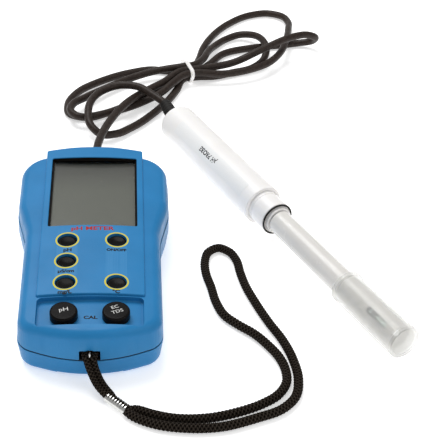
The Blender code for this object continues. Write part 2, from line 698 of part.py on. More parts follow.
def make_board():
    bottom = -BOARD_DEPTH + GAP
    box("circuit_board", (-24.5, -64, -BOARD_DEPTH - BOARD_THICKNESS), (24.5, 62.5, -BOARD_DEPTH),
        GREEN_BOARD, True)
    box("controller_chip", (-7, 24, bottom), (7, 38, bottom + 1.6), BLACK_PLASTIC, True)
    for i, (x, y) in enumerate(KEYS.values()):
        low, high = (x - 3, y - 3, bottom), (x + 3, y + 3, bottom + SWITCH_HEIGHT)
        switch = box(f"key_switch_{i + 1}", low, high, BLACK_PLASTIC, True)
        foot = on_face(x, y, BOARD_DEPTH - SWITCH_HEIGHT)
        top = on_face(x, y, KEY_SHOULDER + KEY_FLANGE + KEY_TRAVEL + GAP)
        join(switch, rod(f"plunger_{i}", 1.6, foot, top))
    for side, name in ((-1, "ph_trimmer"), (1, "ec_trimmer")):
        x = side * KNOB_X
        low, high = (x - 5, KNOB_Y - 5, bottom), (x + 5, KNOB_Y + 5, bottom + TRIMMER_HEIGHT)
        trimmer = box(name, low, high, BLACK_PLASTIC, True)
        foot = on_face(x, KNOB_Y, -(bottom + TRIMMER_FLOOR))
        cut(trimmer, rod(f"{name}_bore", SHAFT_RADIUS + GAP, foot, foot + FACE_NORMAL * 6))


# ---- keys and knobs ---------------------------------------------------------------------------
def face_frame(x, y):
    """Local frame on the face: Z is the face's normal."""
    return Matrix.Translation(on_face(x, y, 0) * MM) @ FACE_TURN.to_4x4()


def make_keys():
    for name, (x, y) in KEYS.items():
        crown = x * x / (2 * CROWN_RADIUS)
        top = -KEY_RECESS - crown
        shoulder = -KEY_SHOULDER
        profile = [
            (0, top - 0.35), (2.6, top - 0.22), (3.7, top), (KEY_RADIUS - 0.3, top - 0.15),
            (KEY_RADIUS, top - 0.6), (KEY_RADIUS, shoulder), (KEY_FLANGE_RADIUS, shoulder),
            (KEY_FLANGE_RADIUS, shoulder - KEY_FLANGE), (0, shoulder - KEY_FLANGE)]
        turned(name, profile, face_frame(x, y), BLACK_PLASTIC, steps=20)


def make_knobs():
    base = -(POCKET_DEPTH + KNOB_X**2 / (2 * CROWN_RADIUS)) + 0.4
    top = base + KNOB_HEIGHT
    socket_roof = top - 1.5
    bore = SHAFT_RADIUS + GAP
    for side, name in ((-1, "ph"), (1, "ec")):
        frame = face_frame(side * KNOB_X, KNOB_Y)
        profile = [
            (0, top), (KNOB_RADIUS - 1.2, top), (KNOB_RADIUS - 0.35, top - 0.35), (KNOB_RADIUS, top - 1.2),
            (KNOB_RADIUS, base), (bore, base), (bore, socket_roof), (0, socket_roof)]
        turned(f"{name}_knob", profile, frame, BLACK_PLASTIC)
        tip, foot = socket_roof - GAP, -BOARD_DEPTH + 2 * GAP + TRIMMER_FLOOR
        shaft = [
            (0, tip), (SHAFT_RADIUS - 0.3, tip), (SHAFT_RADIUS, tip - 0.3), (SHAFT_RADIUS, foot), (0, foot)]
        turned(f"{name}_shaft", shaft, frame, BRASS, steps=16)


# ---- socket, plug and cable -------------------------------------------------------------------
def socket_frame():
    """Local Z points out of the display end along the socket's axis."""
    return Matrix.Translation((0, 0, SOCKET_HEIGHT * MM)) @ Matrix.Rotation(math.radians(-90), 4, "X")


def make_socket():
    """A cup in the case wall: its floor, bore, rim, flange and threaded outside."""
    wall_end = DISPLAY_END - 2.0
    rim, flange, foot = wall_end + 1.9, wall_end + GAP, wall_end - 10
    bore, bore_floor = 4.9, wall_end - 7.5
    profile = [
        (0, bore_floor), (bore, bore_floor), (bore, rim), (7.6, rim), (7.6, flange),
        (SOCKET_THREAD, flange), (SOCKET_THREAD, foot), (0, foot)]
    turned("probe_socket", profile, socket_frame(), STEEL)
    nut_start, nut_end = (0, wall_end - 5.6, SOCKET_HEIGHT), (0, wall_end - WALL - 1.6, SOCKET_HEIGHT)
    nut = rod("socket_nut", 8.2, nut_start, nut_end, BRASS, sides=6)
    bore_start, bore_end = (0, wall_end - 12, SOCKET_HEIGHT), (0, wall_end, SOCKET_HEIGHT)
    cut(nut, rod("nut_bore", SOCKET_THREAD + GAP, bore_start, bore_end, sides=24))


def make_plug():
    frame = socket_frame()
    nose_radius, nose_end = 4.5, 65.2
    profile = [
        (0, PLUG_BACK), (6.4, PLUG_BACK), (7.2, PLUG_BACK - 1.0), (7.5, PLUG_BACK - 2.6),
        (7.5, PLUG_FRONT), (nose_radius, PLUG_FRONT), (nose_radius, nose_end), (0, nose_end)]
    plug = turned("plug_shell", profile, frame, STEEL)
    groove_count, groove_step, groove_width = 3, 2.6, 1.0
    for k in range(groove_count):
        y = PLUG_FRONT + 3.4 + groove_step * k
        groove = [(8.6, y + groove_width), (8.6, y), (7.0, y), (7.0, y + groove_width)]
        cut(plug, turned(f"plug_groove_{k}", groove, frame))
    bore, bore_floor, start = CABLE_RADIUS + GAP, PLUG_TAIL_END - 4.0, PLUG_BACK + GAP
    tail = [
        (0, bore_floor), (bore, bore_floor), (bore, PLUG_TAIL_END), (3.6, PLUG_TAIL_END), (4.6, start + 2),
        (6.0, start + 0.6), (6.0, start), (0, start)]
    turned("plug_tail", tail, frame, STEEL)


def tie_pass(slot, direction):
    """The two waypoints of a strand that passes through the tie."""
    offset, height = TIE_SLOTS[slot]
    heading = Vector((math.cos(math.radians(TIE_HEADING)), math.sin(math.radians(TIE_HEADING))))
    across = Vector((-heading.y, heading.x))
    middle = Vector(TIE_CENTRE) + across * offset
    reach = 3.5 * direction
    return [(*(middle - heading * reach), height), (*(middle + heading * reach), height)]


def boot_direction():
    """Unit vector from the handle's end along the boot, turned a little from the probe's axis."""
    back = (PROBE_START - PROBE_TIP).normalized()
    return Matrix.Rotation(math.radians(-BOOT_TURN), 3, "Z") @ back


def make_cable():
    route = []
    for waypoints, slot, direction in CABLE_LEGS:
        route += waypoints + tie_pass(slot, direction)
    away = boot_direction()
    route += TO_PROBE + [tuple(PROBE_START + away * reach) for reach in (BOOT_LENGTH, 12.0, 2.0)]
    tube("probe_cable", smooth_path(route, 2), CABLE_RADIUS, CABLE_JACKET)


def make_tie():
    """A thin band that hugs the six strands."""
    heading = Matrix.Rotation(math.radians(TIE_HEADING), 3, "Z")
    slots = [TIE_SLOTS[name] for name in ("lower near", "lower far", "upper far", "upper near")]
    corners = [Vector((0, offset, height)) for offset, height in slots]
    half, inner, thickness = 1.3, CABLE_RADIUS + GAP, 0.9
    arc_steps = 4

    def band_section(x, radius):
        """The hull round the corner strands: an arc at each corner, straight between them."""
        section = []
        for i, corner in enumerate(corners):
            before = corner - corners[i - 1]
            after = corners[(i + 1) % len(corners)] - corner
            first, second = Vector((0, before.z, -before.y)), Vector((0, after.z, -after.y))
            for k in range(arc_steps + 1):
                outward = first.normalized().slerp(second.normalized(), k / arc_steps)
                place = corner + outward * radius + Vector((x, 0, 0))
                section.append(heading @ place + Vector((*TIE_CENTRE, 0)))
        return section

    rings = [
        band_section(-half, inner), band_section(half, inner), band_section(half, inner + thickness),
        band_section(-half, inner + thickness)]
    add_object("cable_tie", mesh_from("cable_tie", lambda bm: loft(bm, rings, closed=True)), WHITE)


# ---- probe ------------------------------------------------------------------------------------
def probe_frame():
    """Local Z runs from the handle's cable end to the probe's tip."""
    axis = (PROBE_TIP - PROBE_START).normalized()
    side = Vector((0, 0, 1)).cross(axis).normalized()
    turn = Matrix((side, axis.cross(side), axis)).transposed()
    return Matrix.Translation(PROBE_START * MM) @ turn.to_4x4()


def make_boot():
    away = boot_direction()
    start = PROBE_START + away * 0.5
    end = PROBE_START + away * BOOT_LENGTH
    boot = rod("cable_boot", 4.1, start, end, BLACK_RUBBER, end_radius=3.2)
    cut(boot, rod("boot_bore", CABLE_RADIUS + GAP, start - away * 4, end + away * 4))


def make_handle():
    """A tube with a rounded cable end; the boot and cable pass through its small hole."""
    corner, corner_steps = 3.5, 3
    profile = [(HANDLE_RADIUS - 0.5, HANDLE_END), (HANDLE_RADIUS, HANDLE_END - 0.6)]
    for k in range(corner_steps + 1):
        angle = math.pi / 2 * k / corner_steps
        inset = corner * (1 - math.cos(angle))
        profile.append((HANDLE_RADIUS - inset, corner * (1 - math.sin(angle))))
    cable_hole, hole_depth = 5.2, 2.4
    profile += [(cable_hole, 0.0), (cable_hole, hole_depth), (HANDLE_BORE, 5.0), (HANDLE_BORE, HANDLE_END)]
    turned("probe_handle", profile, probe_frame(), WHITE)


def make_label():
    """A curved strip that stands just off the handle, on its left as seen from the cable end."""
    start, end = LABEL_SPAN
    low, high = LABEL_ANGLES
    inner = HANDLE_RADIUS + GAP
    outer = inner + 0.2
    steps = 6
    rings = []
    for k in range(steps + 1):
        angle = math.radians(low + (high - low) * k / steps)
        across = Vector((-math.sin(angle), math.cos(angle), 0))
        section = ((inner, start), (outer, start), (outer, end), (inner, end))
        rings.append([across * radius + Vector((0, 0, station)) for radius, station in section])
    label = add_object("handle_label", mesh_from("handle_label", lambda bm: loft(bm, rings)), WHITE)
    label.matrix_world = probe_frame()


def make_collar():
    """The turned collar has a spigot inside the handle and a nose that carries the O-ring."""
    nose, nose_end, stem_bore = 7.6, 117.4, STEM_RADIUS + GAP + 0.1
    spigot, spigot_start = HANDLE_BORE - 0.4, 92.0
    profile = [
        (nose, nose_end), (nose, COLLAR_END), (COLLAR_RADIUS - 0.4, COLLAR_END),
        (COLLAR_RADIUS, COLLAR_END - 0.5), (COLLAR_RADIUS, HANDLE_END + GAP), (spigot, HANDLE_END + GAP),
        (spigot, spigot_start), (stem_bore, spigot_start), (stem_bore, nose_end)]
    turned("probe_collar", profile, probe_frame(), WHITE)
    sides, ring_radius = 8, 0.95
    ring = []
    for k in range(sides):
        angle = -2 * math.pi * k / sides
        out = nose + GAP + ring_radius + ring_radius * math.cos(angle)
        ring.append((out + 0.1, COLLAR_END + GAP + ring_radius + ring_radius * math.sin(angle)))
    turned("o_ring", ring, probe_frame(), BLACK_RUBBER)


def make_sensors():
    """The stem with the glass bulb and four small pieces standing on its end."""
    frame = probe_frame()
    stem_end, stem_start = 204.0, 88.0
    stem = [
        (0, stem_end), (STEM_RADIUS - 0.7, stem_end), (STEM_RADIUS, stem_end - 1),
        (STEM_RADIUS, stem_start),
        (0, stem_start)]
    turned("probe_stem", stem, frame, BLACK_PLASTIC, steps=20)
    foot = stem_end + GAP
    bulb_radius, bulb_centre, bulb_steps = 2.4, 217.0, 4
    bulb = []
    for k in range(bulb_steps + 1):
        angle = math.pi / 2 * (1 - k / bulb_steps)
        bulb.append((bulb_radius * math.cos(angle), bulb_centre + bulb_radius * math.sin(angle)))
    bulb += [(bulb_radius - 0.3, bulb_centre - 3.0), (bulb_radius - 0.3, foot), (0, foot)]
    turned("glass_bulb", bulb, frame, PROBE_GLASS, steps=16)
    small_pieces = [
        ("conductivity_pin_1", 3.9, 0, 0.7, 214.0, STEEL),
        ("conductivity_pin_2", -3.9, 0, 0.7, 214.0, STEEL),
        ("temperature_sensor", 0, 3.9, 0.9, 216.0, STEEL),
        ("reference_junction", 0, -3.7, 0.8, 208.0, WHITE)]
    for name, x, y, radius, tip, finish in small_pieces:
        profile = [(0, tip), (radius * 0.7, tip), (radius, tip - 0.5), (radius, foot), (0, foot)]
        turned(name, profile, frame @ Matrix.Translation((x * MM, y * MM, 0)), finish, steps=12)


def make_sleeve():
    """A tube with four slots near its tip, cut by two crossed slot-shaped bars."""
    frame = probe_frame()
    profile = [
        (SLEEVE_RADIUS, SLEEVE_END), (SLEEVE_RADIUS, SLEEVE_START), (SLEEVE_BORE, SLEEVE_START),
        (SLEEVE_BORE, SLEEVE_END)]
    sleeve = turned("probe_sleeve", profile, frame, MILKY)
    half = SLOT_WIDTH / 2
    outline = rectangle(half, SLOT_START, SLOT_END, half - 0.02)
    for k in range(2):
        name = f"sleeve_slot_{k}"
        rings = [[(x, p.x, p.y) for p in outline] for x in (-9, 9)]
        slot = add_object(name, mesh_from(name, lambda bm: loft(bm, rings)))
        slot.matrix_world = frame @ Matrix.Rotation(math.radians(SLOT_ANGLE + 90 * k), 4, "Z")
        cut(sleeve, slot)


def make_cap():
    """A cup with a mouth ring and a thicker end rim."""
    bore = SLEEVE_RADIUS + 0.4
    barrel, mouth, end_rim = 8.1, 9.1, 8.8
    floor = CAP_END - 2
    profile = [
        (0, CAP_END), (end_rim - 0.6, CAP_END), (end_rim, CAP_END - 0.6), (end_rim, CAP_END - 2.4),
        (end_rim - 0.3, CAP_END - 2.8), (barrel, CAP_START + 3),
        (mouth, CAP_START + 2.6), (mouth, CAP_START),
        (bore, CAP_START), (bore, floor), (0, floor)]
    turned("storage_cap", profile, probe_frame(), MILKY)


# ---- strap ------------------------------------------------------------------------------------
def make_strap_pin():
    x, y = STRAP_PIN
    foot = seam_height(y) + SEAM_GAP + 0.4
    rod("strap_pin", PIN_RADIUS, (x, y, foot), (x, y, STRAP_HEIGHT + 5.0), STEEL)


def anchor_path():
    """Both runs of the doubled cord: up one side from the crimp, round the pin and down the other."""
    x, y = STRAP_PIN
    bend = PIN_RADIUS + GAP + ANCHOR_RADIUS
    along = (CRIMP_END - CRIMP_START).normalized()
    middle = [Vector((x, y - 3.8, STRAP_HEIGHT - 0.3)), *ANCHOR_MIDDLE, CRIMP_START - along * 1.3]
    spreads = [ANCHOR_RADIUS + extra for extra in (0.4, 0.3, 0.3, 0.1)]
    left, right = [], []
    for i, (point, spread) in enumerate(zip(middle, spreads)):
        tangent = middle[min(i + 1, len(middle) - 1)] - middle[max(i - 1, 0)]
        side = Vector((-tangent.y, tangent.x, 0)).normalized() if i else Vector((1, 0, 0))
        left.append(point - side * spread)
        right.append(point + side * spread)
    round_pin = []
    turn_steps = 6
    for k in range(turn_steps + 1):
        angle = math.pi - math.pi * k / turn_steps
        round_pin.append(Vector((x + bend * math.cos(angle), y + bend * math.sin(angle), STRAP_HEIGHT)))
    return smooth_path(left[::-1], 3) + round_pin + smooth_path(right, 3)


def make_strap():
    """A cord looped round the pin, the crimp that gathers it, and the doubled braid."""
    tube("strap_anchor", anchor_path(), ANCHOR_RADIUS, CORD)
    rod("strap_crimp", CRIMP_RADIUS, CRIMP_START, CRIMP_END, STEEL)
    loop = smooth_path([(px, py, STRAP_RADIUS + 0.2) for px, py in STRAP_LOOP], 2)
    tube("strap_cord", loop, STRAP_RADIUS, CORD)


def main():
    make_front_shell()
    make_rear_shell()
    make_gasket()
    make_screws()
    make_battery()
    make_battery_door()
    make_display()
    make_board()
    make_keys()
    make_knobs()
    make_socket()
    make_plug()
    make_cable()
    make_tie()
    make_boot()
    make_handle()
    make_label()
    make_collar()
    make_sensors()
    make_sleeve()
    make_cap()
    make_strap_pin()
    make_strap()


main()
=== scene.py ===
"""Looks for the handheld pH meter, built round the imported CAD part.

Sizes are in millimetres and become metres when a mesh is made.  The world frame is the CAD's: the
origin is the centre of the case's back on the table, +X to the right of the keypad, +Y towards the
display end and +Z out of the front face.
"""

import math

import bmesh
import bpy
from mathutils import Matrix, Vector


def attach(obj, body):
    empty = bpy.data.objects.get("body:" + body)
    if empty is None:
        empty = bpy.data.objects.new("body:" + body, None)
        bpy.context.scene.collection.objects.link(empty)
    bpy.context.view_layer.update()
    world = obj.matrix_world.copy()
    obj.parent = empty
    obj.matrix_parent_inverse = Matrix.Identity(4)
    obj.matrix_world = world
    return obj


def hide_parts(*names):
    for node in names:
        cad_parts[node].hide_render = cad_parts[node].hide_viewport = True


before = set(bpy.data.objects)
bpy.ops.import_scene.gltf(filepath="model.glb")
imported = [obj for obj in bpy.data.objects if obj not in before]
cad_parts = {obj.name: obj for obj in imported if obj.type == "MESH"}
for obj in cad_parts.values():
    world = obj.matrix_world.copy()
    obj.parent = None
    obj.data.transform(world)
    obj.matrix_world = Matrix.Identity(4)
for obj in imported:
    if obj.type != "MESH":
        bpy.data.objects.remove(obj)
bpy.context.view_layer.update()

MM = 0.001
GAP = 0.3
# Corners nearer to each other than this after a cut are joined.
WELD = 0.002

# ---- case ---------------------------------------------------------------------------------------
# Half outline at the seam, display end first: x, y and corner radius.
CASE_CORNERS = [(40, 70.5, 16), (40, 28, 24), (35, 6, 24), (35, -66.5, 11), (12, -75.6, 60)]
CASE_HEIGHT = 36.0
DISPLAY_END = 72.5
CROWN_RADIUS = 260.0
FACE_SLOPE = 0.045
SHOULDER_DRAFT = 0.8
EDGE_ROUND = 4.4
BACK_ROUND = 5.0
WING_DROP = 1.2
PANEL_HALF_WIDTH = 26.5
PANEL_END = -48.0
PANEL_BULGE = 2.2
PANEL_LEDGE = 23.5
WALL = 2.4
PANEL_WALL = 3.4
POCKET_WALL = 6.0
BEND_START = 12.0
BEND_FULL = 30.0
CROWN_STRIP = 1.25
ARC_STEP = 4.0

# The seam is a plane that rises towards the display end.
SEAM_AT_KNOB_END = 12.4
SEAM_SLOPE = 0.0765
KNOB_END = -75.0
GASKET_THICKNESS = 0.65
SEAM_GAP = GASKET_THICKNESS / 2 + 0.04

# ---- front panel --------------------------------------------------------------------------------
WINDOW_HALF_WIDTH = 22.8
WINDOW_BOTTOM = 5.0
WINDOW_TOP = 64.4
WINDOW_WALL = 2.4
LENS_HALF_WIDTH = 25.3
KEY_COLUMN = 12.4
KEY_ROWS = (-7.0, -23.0, -39.0)
KEYS = {
    "key_ph": (-KEY_COLUMN, KEY_ROWS[0]),
    "key_conductivity": (-KEY_COLUMN, KEY_ROWS[1]),
    "key_dissolved_solids": (-KEY_COLUMN, KEY_ROWS[2]),
    "key_power": (KEY_COLUMN, KEY_ROWS[0]),
    "key_temperature": (KEY_COLUMN, KEY_ROWS[2]),
}
KEY_RADIUS = 4.5
KEY_RECESS = 1.0
KEY_HOLE_RADIUS = 5.0
KEY_FLANGE_RADIUS = 5.8
KEY_FLANGE = 0.7
RING_RADIUS = 5.55
RING_WIDTH = 0.8
POCKET_HALF_WIDTH = 25.5
POCKET_END = -67.7
POCKET_DEPTH = 3.9
KNOB_X = 12.3
KNOB_Y = -60.0
KNOB_RADIUS = 6.65
KNOB_HEIGHT = 4.3
SHAFT_RADIUS = 2.0
INK = 0.03
SCOOP_RADIUS = 4.6

# ---- back ---------------------------------------------------------------------------------------
BATTERY_SIZE = (26.5, 48.5)
BATTERY_CENTRE_Y = 2.2
DOOR_HALF_WIDTH = 15.5
DOOR_TOP = 30.0
DOOR_BOTTOM = -60.0
DOOR_THICKNESS = 2.3
SCREW_PLACES = [(-30.0, 56.0), (30.0, 56.0), (-28.5, -55.0), (28.5, -55.0)]

# ---- probe lead ---------------------------------------------------------------------------------
SOCKET_HEIGHT = 15.0
SOCKET_THREAD = 5.8
PLUG_FRONT = 74.6
PLUG_BACK = 89.6
PLUG_TAIL_END = 98.0
CABLE_RADIUS = 2.4
TIE_CENTRE = (58.5, 214.5)
TIE_HEADING = 15.0
# The six strands in the tie: sideways offset across the bundle, and height.
TIE_SLOTS = {
    "lower far": (6.5, 3.75), "lower middle": (1.3, 3.75), "lower near": (-3.9, 3.75),
    "upper far": (3.9, 8.25), "upper middle": (-1.3, 8.25), "upper near": (-6.5, 8.25),
}
# Each leg of the cable ends in the tie slot named beside it, entered rightwards or leftwards.
FROM_METER = [
    (0, 94.5, 15), (0.4, 107, 15.2), (2.5, 120, 14.8), (8.5, 142, 13.4), (18, 165, 11.3),
    (29.5, 184.5, 8.2), (41, 197, 7.6)]
RAISED_RIGHT_LOOP = [
    (88, 222, 9), (109.5, 232, 14.5), (129, 243, 17.5), (140, 249, 16.5), (147.5, 254.5, 11.5),
    (146, 260, 6), (138, 262.5, 3.2), (127, 260.5, 2.6), (106.5, 256, 2.6), (84, 246.5, 2.6),
    (72.6, 230.2, 2.6)]
OUTER_LEFT_LOOP = [
    (42, 201.5, 2.6), (30, 186, 2.6), (21, 178.5, 2.6), (2, 165, 2.6), (-10, 161.5, 2.6),
    (-18, 165.5, 2.6), (-19.5, 176, 2.6), (-13.5, 192.5, 2.6), (1, 207, 2.6), (21, 219, 2.6),
    (34, 223, 2.6), (45, 221.5, 2.6)]
WIDE_RIGHT_LOOP = [
    (66.5, 238, 2.6), (70, 253, 2.6), (77, 271, 2.6), (90, 291, 2.6), (107, 305.5, 2.6),
    (119.5, 308.5, 2.8), (129.5, 303, 3.4), (133, 291, 4.6), (131.5, 277, 6.5), (127.5, 256, 8.5),
    (121, 236.5, 8.5), (112, 223.5, 8.2), (98, 214.5, 7.8), (82, 210, 7.2)]
INNER_LEFT_LOOP = [
    (47.5, 196.5, 7.6), (40, 187, 6.2), (25, 174.5, 4.8), (5, 161, 5.8), (-5.5, 155, 6.4),
    (-12.5, 154.5, 7.4), (-17, 159.5, 8), (-16, 168, 7.9), (-9.5, 177.5, 6.8), (5, 194.5, 4.8),
    (20, 207, 4.8), (34.5, 214.5, 5.8)]
INNER_RIGHT_LOOP = [
    (68, 229, 7), (73, 244, 5.4), (79, 257, 3.4), (87, 267.5, 2.8), (96.5, 272, 4),
    (106, 267.5, 6.2), (111.5, 257, 7.7), (113, 245, 6.6), (109.5, 234.5, 4), (101.5, 226.5, 2.6),
    (88, 220, 2.6), (76, 215, 2.6)]
TO_PROBE = [
    (50, 196, 2.6), (46.5, 187.5, 2.6), (35.5, 168, 2.6), (20.5, 148.5, 3), (11, 139.8, 3.8),
    (2, 137.2, 5.2), (-4.2, 142, 8.4), (-6, 152.5, 11.4), (-4, 165, 13), (3, 176, 13.5),
    (13.5, 181.5, 14.1), (24.5, 179.5, 14.4), (33.5, 172, 13.2)]
CABLE_LEGS = [
    (FROM_METER, "upper middle", 1), (RAISED_RIGHT_LOOP, "lower middle", -1),
    (OUTER_LEFT_LOOP, "lower far", 1), (WIDE_RIGHT_LOOP, "upper near", -1),
    (INNER_LEFT_LOOP, "upper far", 1), (INNER_RIGHT_LOOP, "lower near", -1)]

# ---- probe ------------------------------------------------------------------------------------
# Stations are distances along the probe's axis from the cable end of the handle.
PROBE_START = Vector((47.6, 142.8, 11.5))
PROBE_TIP = Vector((152.3, -64.3, 11.5))
BOOT_LENGTH = 21.0
BOOT_TURN = 10.5
HANDLE_END = 101.0
HANDLE_RADIUS = 11.4
HANDLE_BORE = 9.7
LABEL_SPAN = (17.0, 92.6)
LABEL_ANGLES = (24, 68)
COLLAR_END = 115.0
COLLAR_RADIUS = 9.4
STEM_RADIUS = 5.3
SLEEVE_START = 118.0
SLEEVE_END = 226.0
SLEEVE_RADIUS = 6.7
SLEEVE_BORE = 5.9
SLOT_START = 205.0
SLOT_END = 221.0
SLOT_WIDTH = 3.4
SLOT_ANGLE = 45
CAP_START = 181.0
CAP_END = 231.0

# ---- strap ------------------------------------------------------------------------------------
STRAP_PIN = (0.0, -73.4)
PIN_RADIUS = 0.8
STRAP_HEIGHT = 15.6
STRAP_RADIUS = 2.3
ANCHOR_RADIUS = 1.65
ANCHOR_MIDDLE = [Vector((1.4, -80.6, 12.2)), Vector((4.2, -84.2, 6.9))]
CRIMP_START = Vector((8.6, -90.2, 3.4))
CRIMP_END = Vector((17.6, -98.8, 2.9))
CRIMP_RADIUS = 2.7
STRAP_LOOP = [
    (19.5, -101.5), (28, -106.5), (44, -110), (60, -109.5), (77, -104), (89, -98.5), (95.8, -91),
    (98.8, -78), (97.8, -65), (94, -50), (89, -38), (83, -21), (79, -7), (77, 5), (76, 14),
    (72.5, 22), (67, 25.5), (61.5, 22), (59, 14), (59, 3), (61, -8), (63, -21), (66.5, -31),
    (73, -38.5), (80, -45), (86.5, -54), (91, -62.5), (93.3, -72), (93, -80), (88.5, -88.5),
    (80, -95), (69, -100), (53, -104), (38, -103.6), (29, -101), (21.5, -98)]
BRAID_STEP = 0.24
CRIMP_SEAM_TURN = -20.0

# ---- light and camera ---------------------------------------------------------------------------
AMBIENT = 0.44
TABLE_GLOW = 0.50
TABLE_SIZE = 6000.0
# Area lights: place and width in metres, and power in watts.
LIGHTS = {
    "key_light": ((-0.25, 0.55, 1.15), 0.9, 11.0),
    "fill_light": ((0.75, -0.55, 0.8), 1.0, 2.0),
}
LIGHT_TARGET = (0.05, 0.08, 0.0)
CAMERA_PLACE = Vector((15.94, -515.85, 409.70))
# Azimuth, elevation and roll in degrees.
CAMERA_ANGLES = (-5.22, 35.65, 3.07)
CAMERA_LENS = 101.75
CAMERA_SENSOR = 36.0


# ---- mesh helpers -------------------------------------------------------------------------------
def mesh_from(name, build):
    """A mesh made by build(bm) in millimetres, stored in metres with its faces out."""
    bm = bmesh.new()
    build(bm)
    bmesh.ops.scale(bm, vec=(MM, MM, MM), verts=bm.verts)
    bmesh.ops.recalc_face_normals(bm, faces=bm.faces)
    mesh = bpy.data.meshes.new(name)
    bm.to_mesh(mesh)
    bm.free()
    return mesh


def add_object(name, data):
    """A new object in the scene, from a mesh, curve, light or camera."""
    made = bpy.data.objects.new(name, data)
    bpy.context.scene.collection.objects.link(made)
    return made


def shade(item, angle=32.0):
    """Smooth shading that keeps edges sharper than the angle; normals weigh face size and corner angle."""
    item.data.shade_smooth()
    item.data.set_sharp_from_angle(angle=math.radians(angle))
    weighted = item.modifiers.new("weighted", "WEIGHTED_NORMAL")
    weighted.mode = "FACE_AREA_WITH_ANGLE"
    weighted.keep_sharp = True


def finish_piece(item, look, body, nodes=(), angle=32.0):
    """Give a new piece its material, its body and the CAD nodes it stands for."""
    item.data.materials.clear()
    item.data.materials.append(look)
    shade(item, angle)
    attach(item, body)
    if nodes:
        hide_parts(*nodes)


def loft(bm, rings, closed=False):
    """Join equal rings of points with quads.  A closed loft wraps round, an open one gets end caps."""
    rows = [[bm.verts.new(point) for point in ring] for ring in rings]
    pairs = list(zip(rows, rows[1:]))
    if closed:
        pairs.append((rows[-1], rows[0]))
    else:
        bm.faces.new(rows[0])
        bm.faces.new(rows[-1])
    for lower, upper in pairs:
        for i in range(len(lower)):
            j = (i + 1) % len(lower)
            bm.faces.new((lower[i], lower[j], upper[j], upper[i]))


def box(name, low, high, tilt=False):
    """A box between two corners.  With tilt, z counts from the sloping face, so it is negative inside."""
    size = [h - l for l, h in zip(low, high)]
    centre = [(h + l) / 2 for l, h in zip(low, high)]

    def build(bm):
        bmesh.ops.create_cube(bm, size=1.0)
        bmesh.ops.scale(bm, vec=size, verts=bm.verts)
        if tilt:
            bmesh.ops.rotate(bm, matrix=FACE_TURN, verts=bm.verts)
            bmesh.ops.translate(bm, vec=on_face(centre[0], centre[1], -centre[2]), verts=bm.verts)
        else:
            bmesh.ops.translate(bm, vec=centre, verts=bm.verts)

    return add_object(name, mesh_from(name, build))


def rod(name, radius, start, end, sides=48, end_radius=None):
    """A cylinder or cone from start to end."""
    start, end = Vector(start), Vector(end)
    axis = end - start

    def build(bm):
        bmesh.ops.create_cone(
            bm, cap_ends=True, segments=sides, radius1=radius,
            radius2=radius if end_radius is None else end_radius, depth=axis.length)
        bmesh.ops.rotate(bm, matrix=axis.to_track_quat("Z", "Y").to_matrix(), verts=bm.verts)
        bmesh.ops.translate(bm, vec=(start + end) / 2, verts=bm.verts)

    return add_object(name, mesh_from(name, build))


def turned(name, profile, place, steps=96):
    """Turn a profile of (radius, height) points about local Z.  Points on the axis become poles."""
    closed = profile[0][0] > 0

    def build(bm):
        columns = []
        poles = {}
        for i, (radius, height) in enumerate(profile):
            if radius == 0:
                poles[i] = bm.verts.new((0, 0, height))
        for k in range(steps):
            angle = 2 * math.pi * k / steps
            column = []
            for i, (radius, height) in enumerate(profile):
                if i in poles:
                    column.append(poles[i])
                else:
                    column.append(bm.verts.new((radius * math.cos(angle), radius * math.sin(angle), height)))
            columns.append(column)
        legs = [(i, i + 1) for i in range(len(profile) - 1)]
        if closed:
            legs.append((len(profile) - 1, 0))
        for k, column in enumerate(columns):
            after = columns[(k + 1) % steps]
            for i, j in legs:
                corners = [column[i], column[j], after[j], after[i]]
                unique = [v for n, v in enumerate(corners) if v not in corners[:n]]
                if len(unique) > 2:
                    bm.faces.new(unique)

    made = add_object(name, mesh_from(name, build))
    made.data.transform(place)
    return made


def at_point(x, y):
    """The world's axes moved to a point on the table."""
    return Matrix.Translation((x * MM, y * MM, 0))


def frame_along(start, direction):
    """Local Z runs from a point in a direction."""
    return Matrix.Translation(start * MM) @ direction.to_track_quat("Z", "Y").to_matrix().to_4x4()


def arc(centre, radius, start, end, steps):
    """Points (r, h) of a profile along a round corner; angles in degrees, 0 outwards and 90 up."""
    points = []
    for k in range(steps + 1):
        angle = math.radians(start + (end - start) * k / steps)
        points.append((centre[0] + radius * math.cos(angle), centre[1] + radius * math.sin(angle)))
    return points


def rounded(radius, height, corner, steps, start=90):
    """Points (r, h) round the upper outer corner of a turned profile."""
    return arc((radius - corner, height - corner), corner, start, 0, steps)


def keep_result(item):
    """Make the shape that the item's modifiers give its mesh."""
    evaluated = item.evaluated_get(bpy.context.evaluated_depsgraph_get())
    item.data = bpy.data.meshes.new_from_object(evaluated)
    item.modifiers.clear()


def carve(item, cutters=(), unions=()):
    """Cut and join solids exactly, keep the result as the item's mesh and drop the tools."""
    for tools, operation in ((unions, "UNION"), (cutters, "DIFFERENCE")):
        for tool in tools:
            step = item.modifiers.new("carve", "BOOLEAN")
            step.operation = operation
            step.solver = "EXACT"
            step.object = tool
    keep_result(item)
    bm = bmesh.new()
    bm.from_mesh(item.data)
    bmesh.ops.remove_doubles(bm, verts=bm.verts, dist=WELD * MM)
    bm.to_mesh(item.data)
    bm.free()
    for tool in (*unions, *cutters):
        bpy.data.objects.remove(tool)


def soften(item, width, segments=3, angle=40.0):
    """Round the edges sharper than an angle, and keep the result as the item's mesh."""
    bevel = item.modifiers.new("soften", "BEVEL")
    bevel.width = width * MM
    bevel.segments = segments
    bevel.limit_method = "ANGLE"
    bevel.angle_limit = math.radians(angle)
    keep_result(item)
    return item


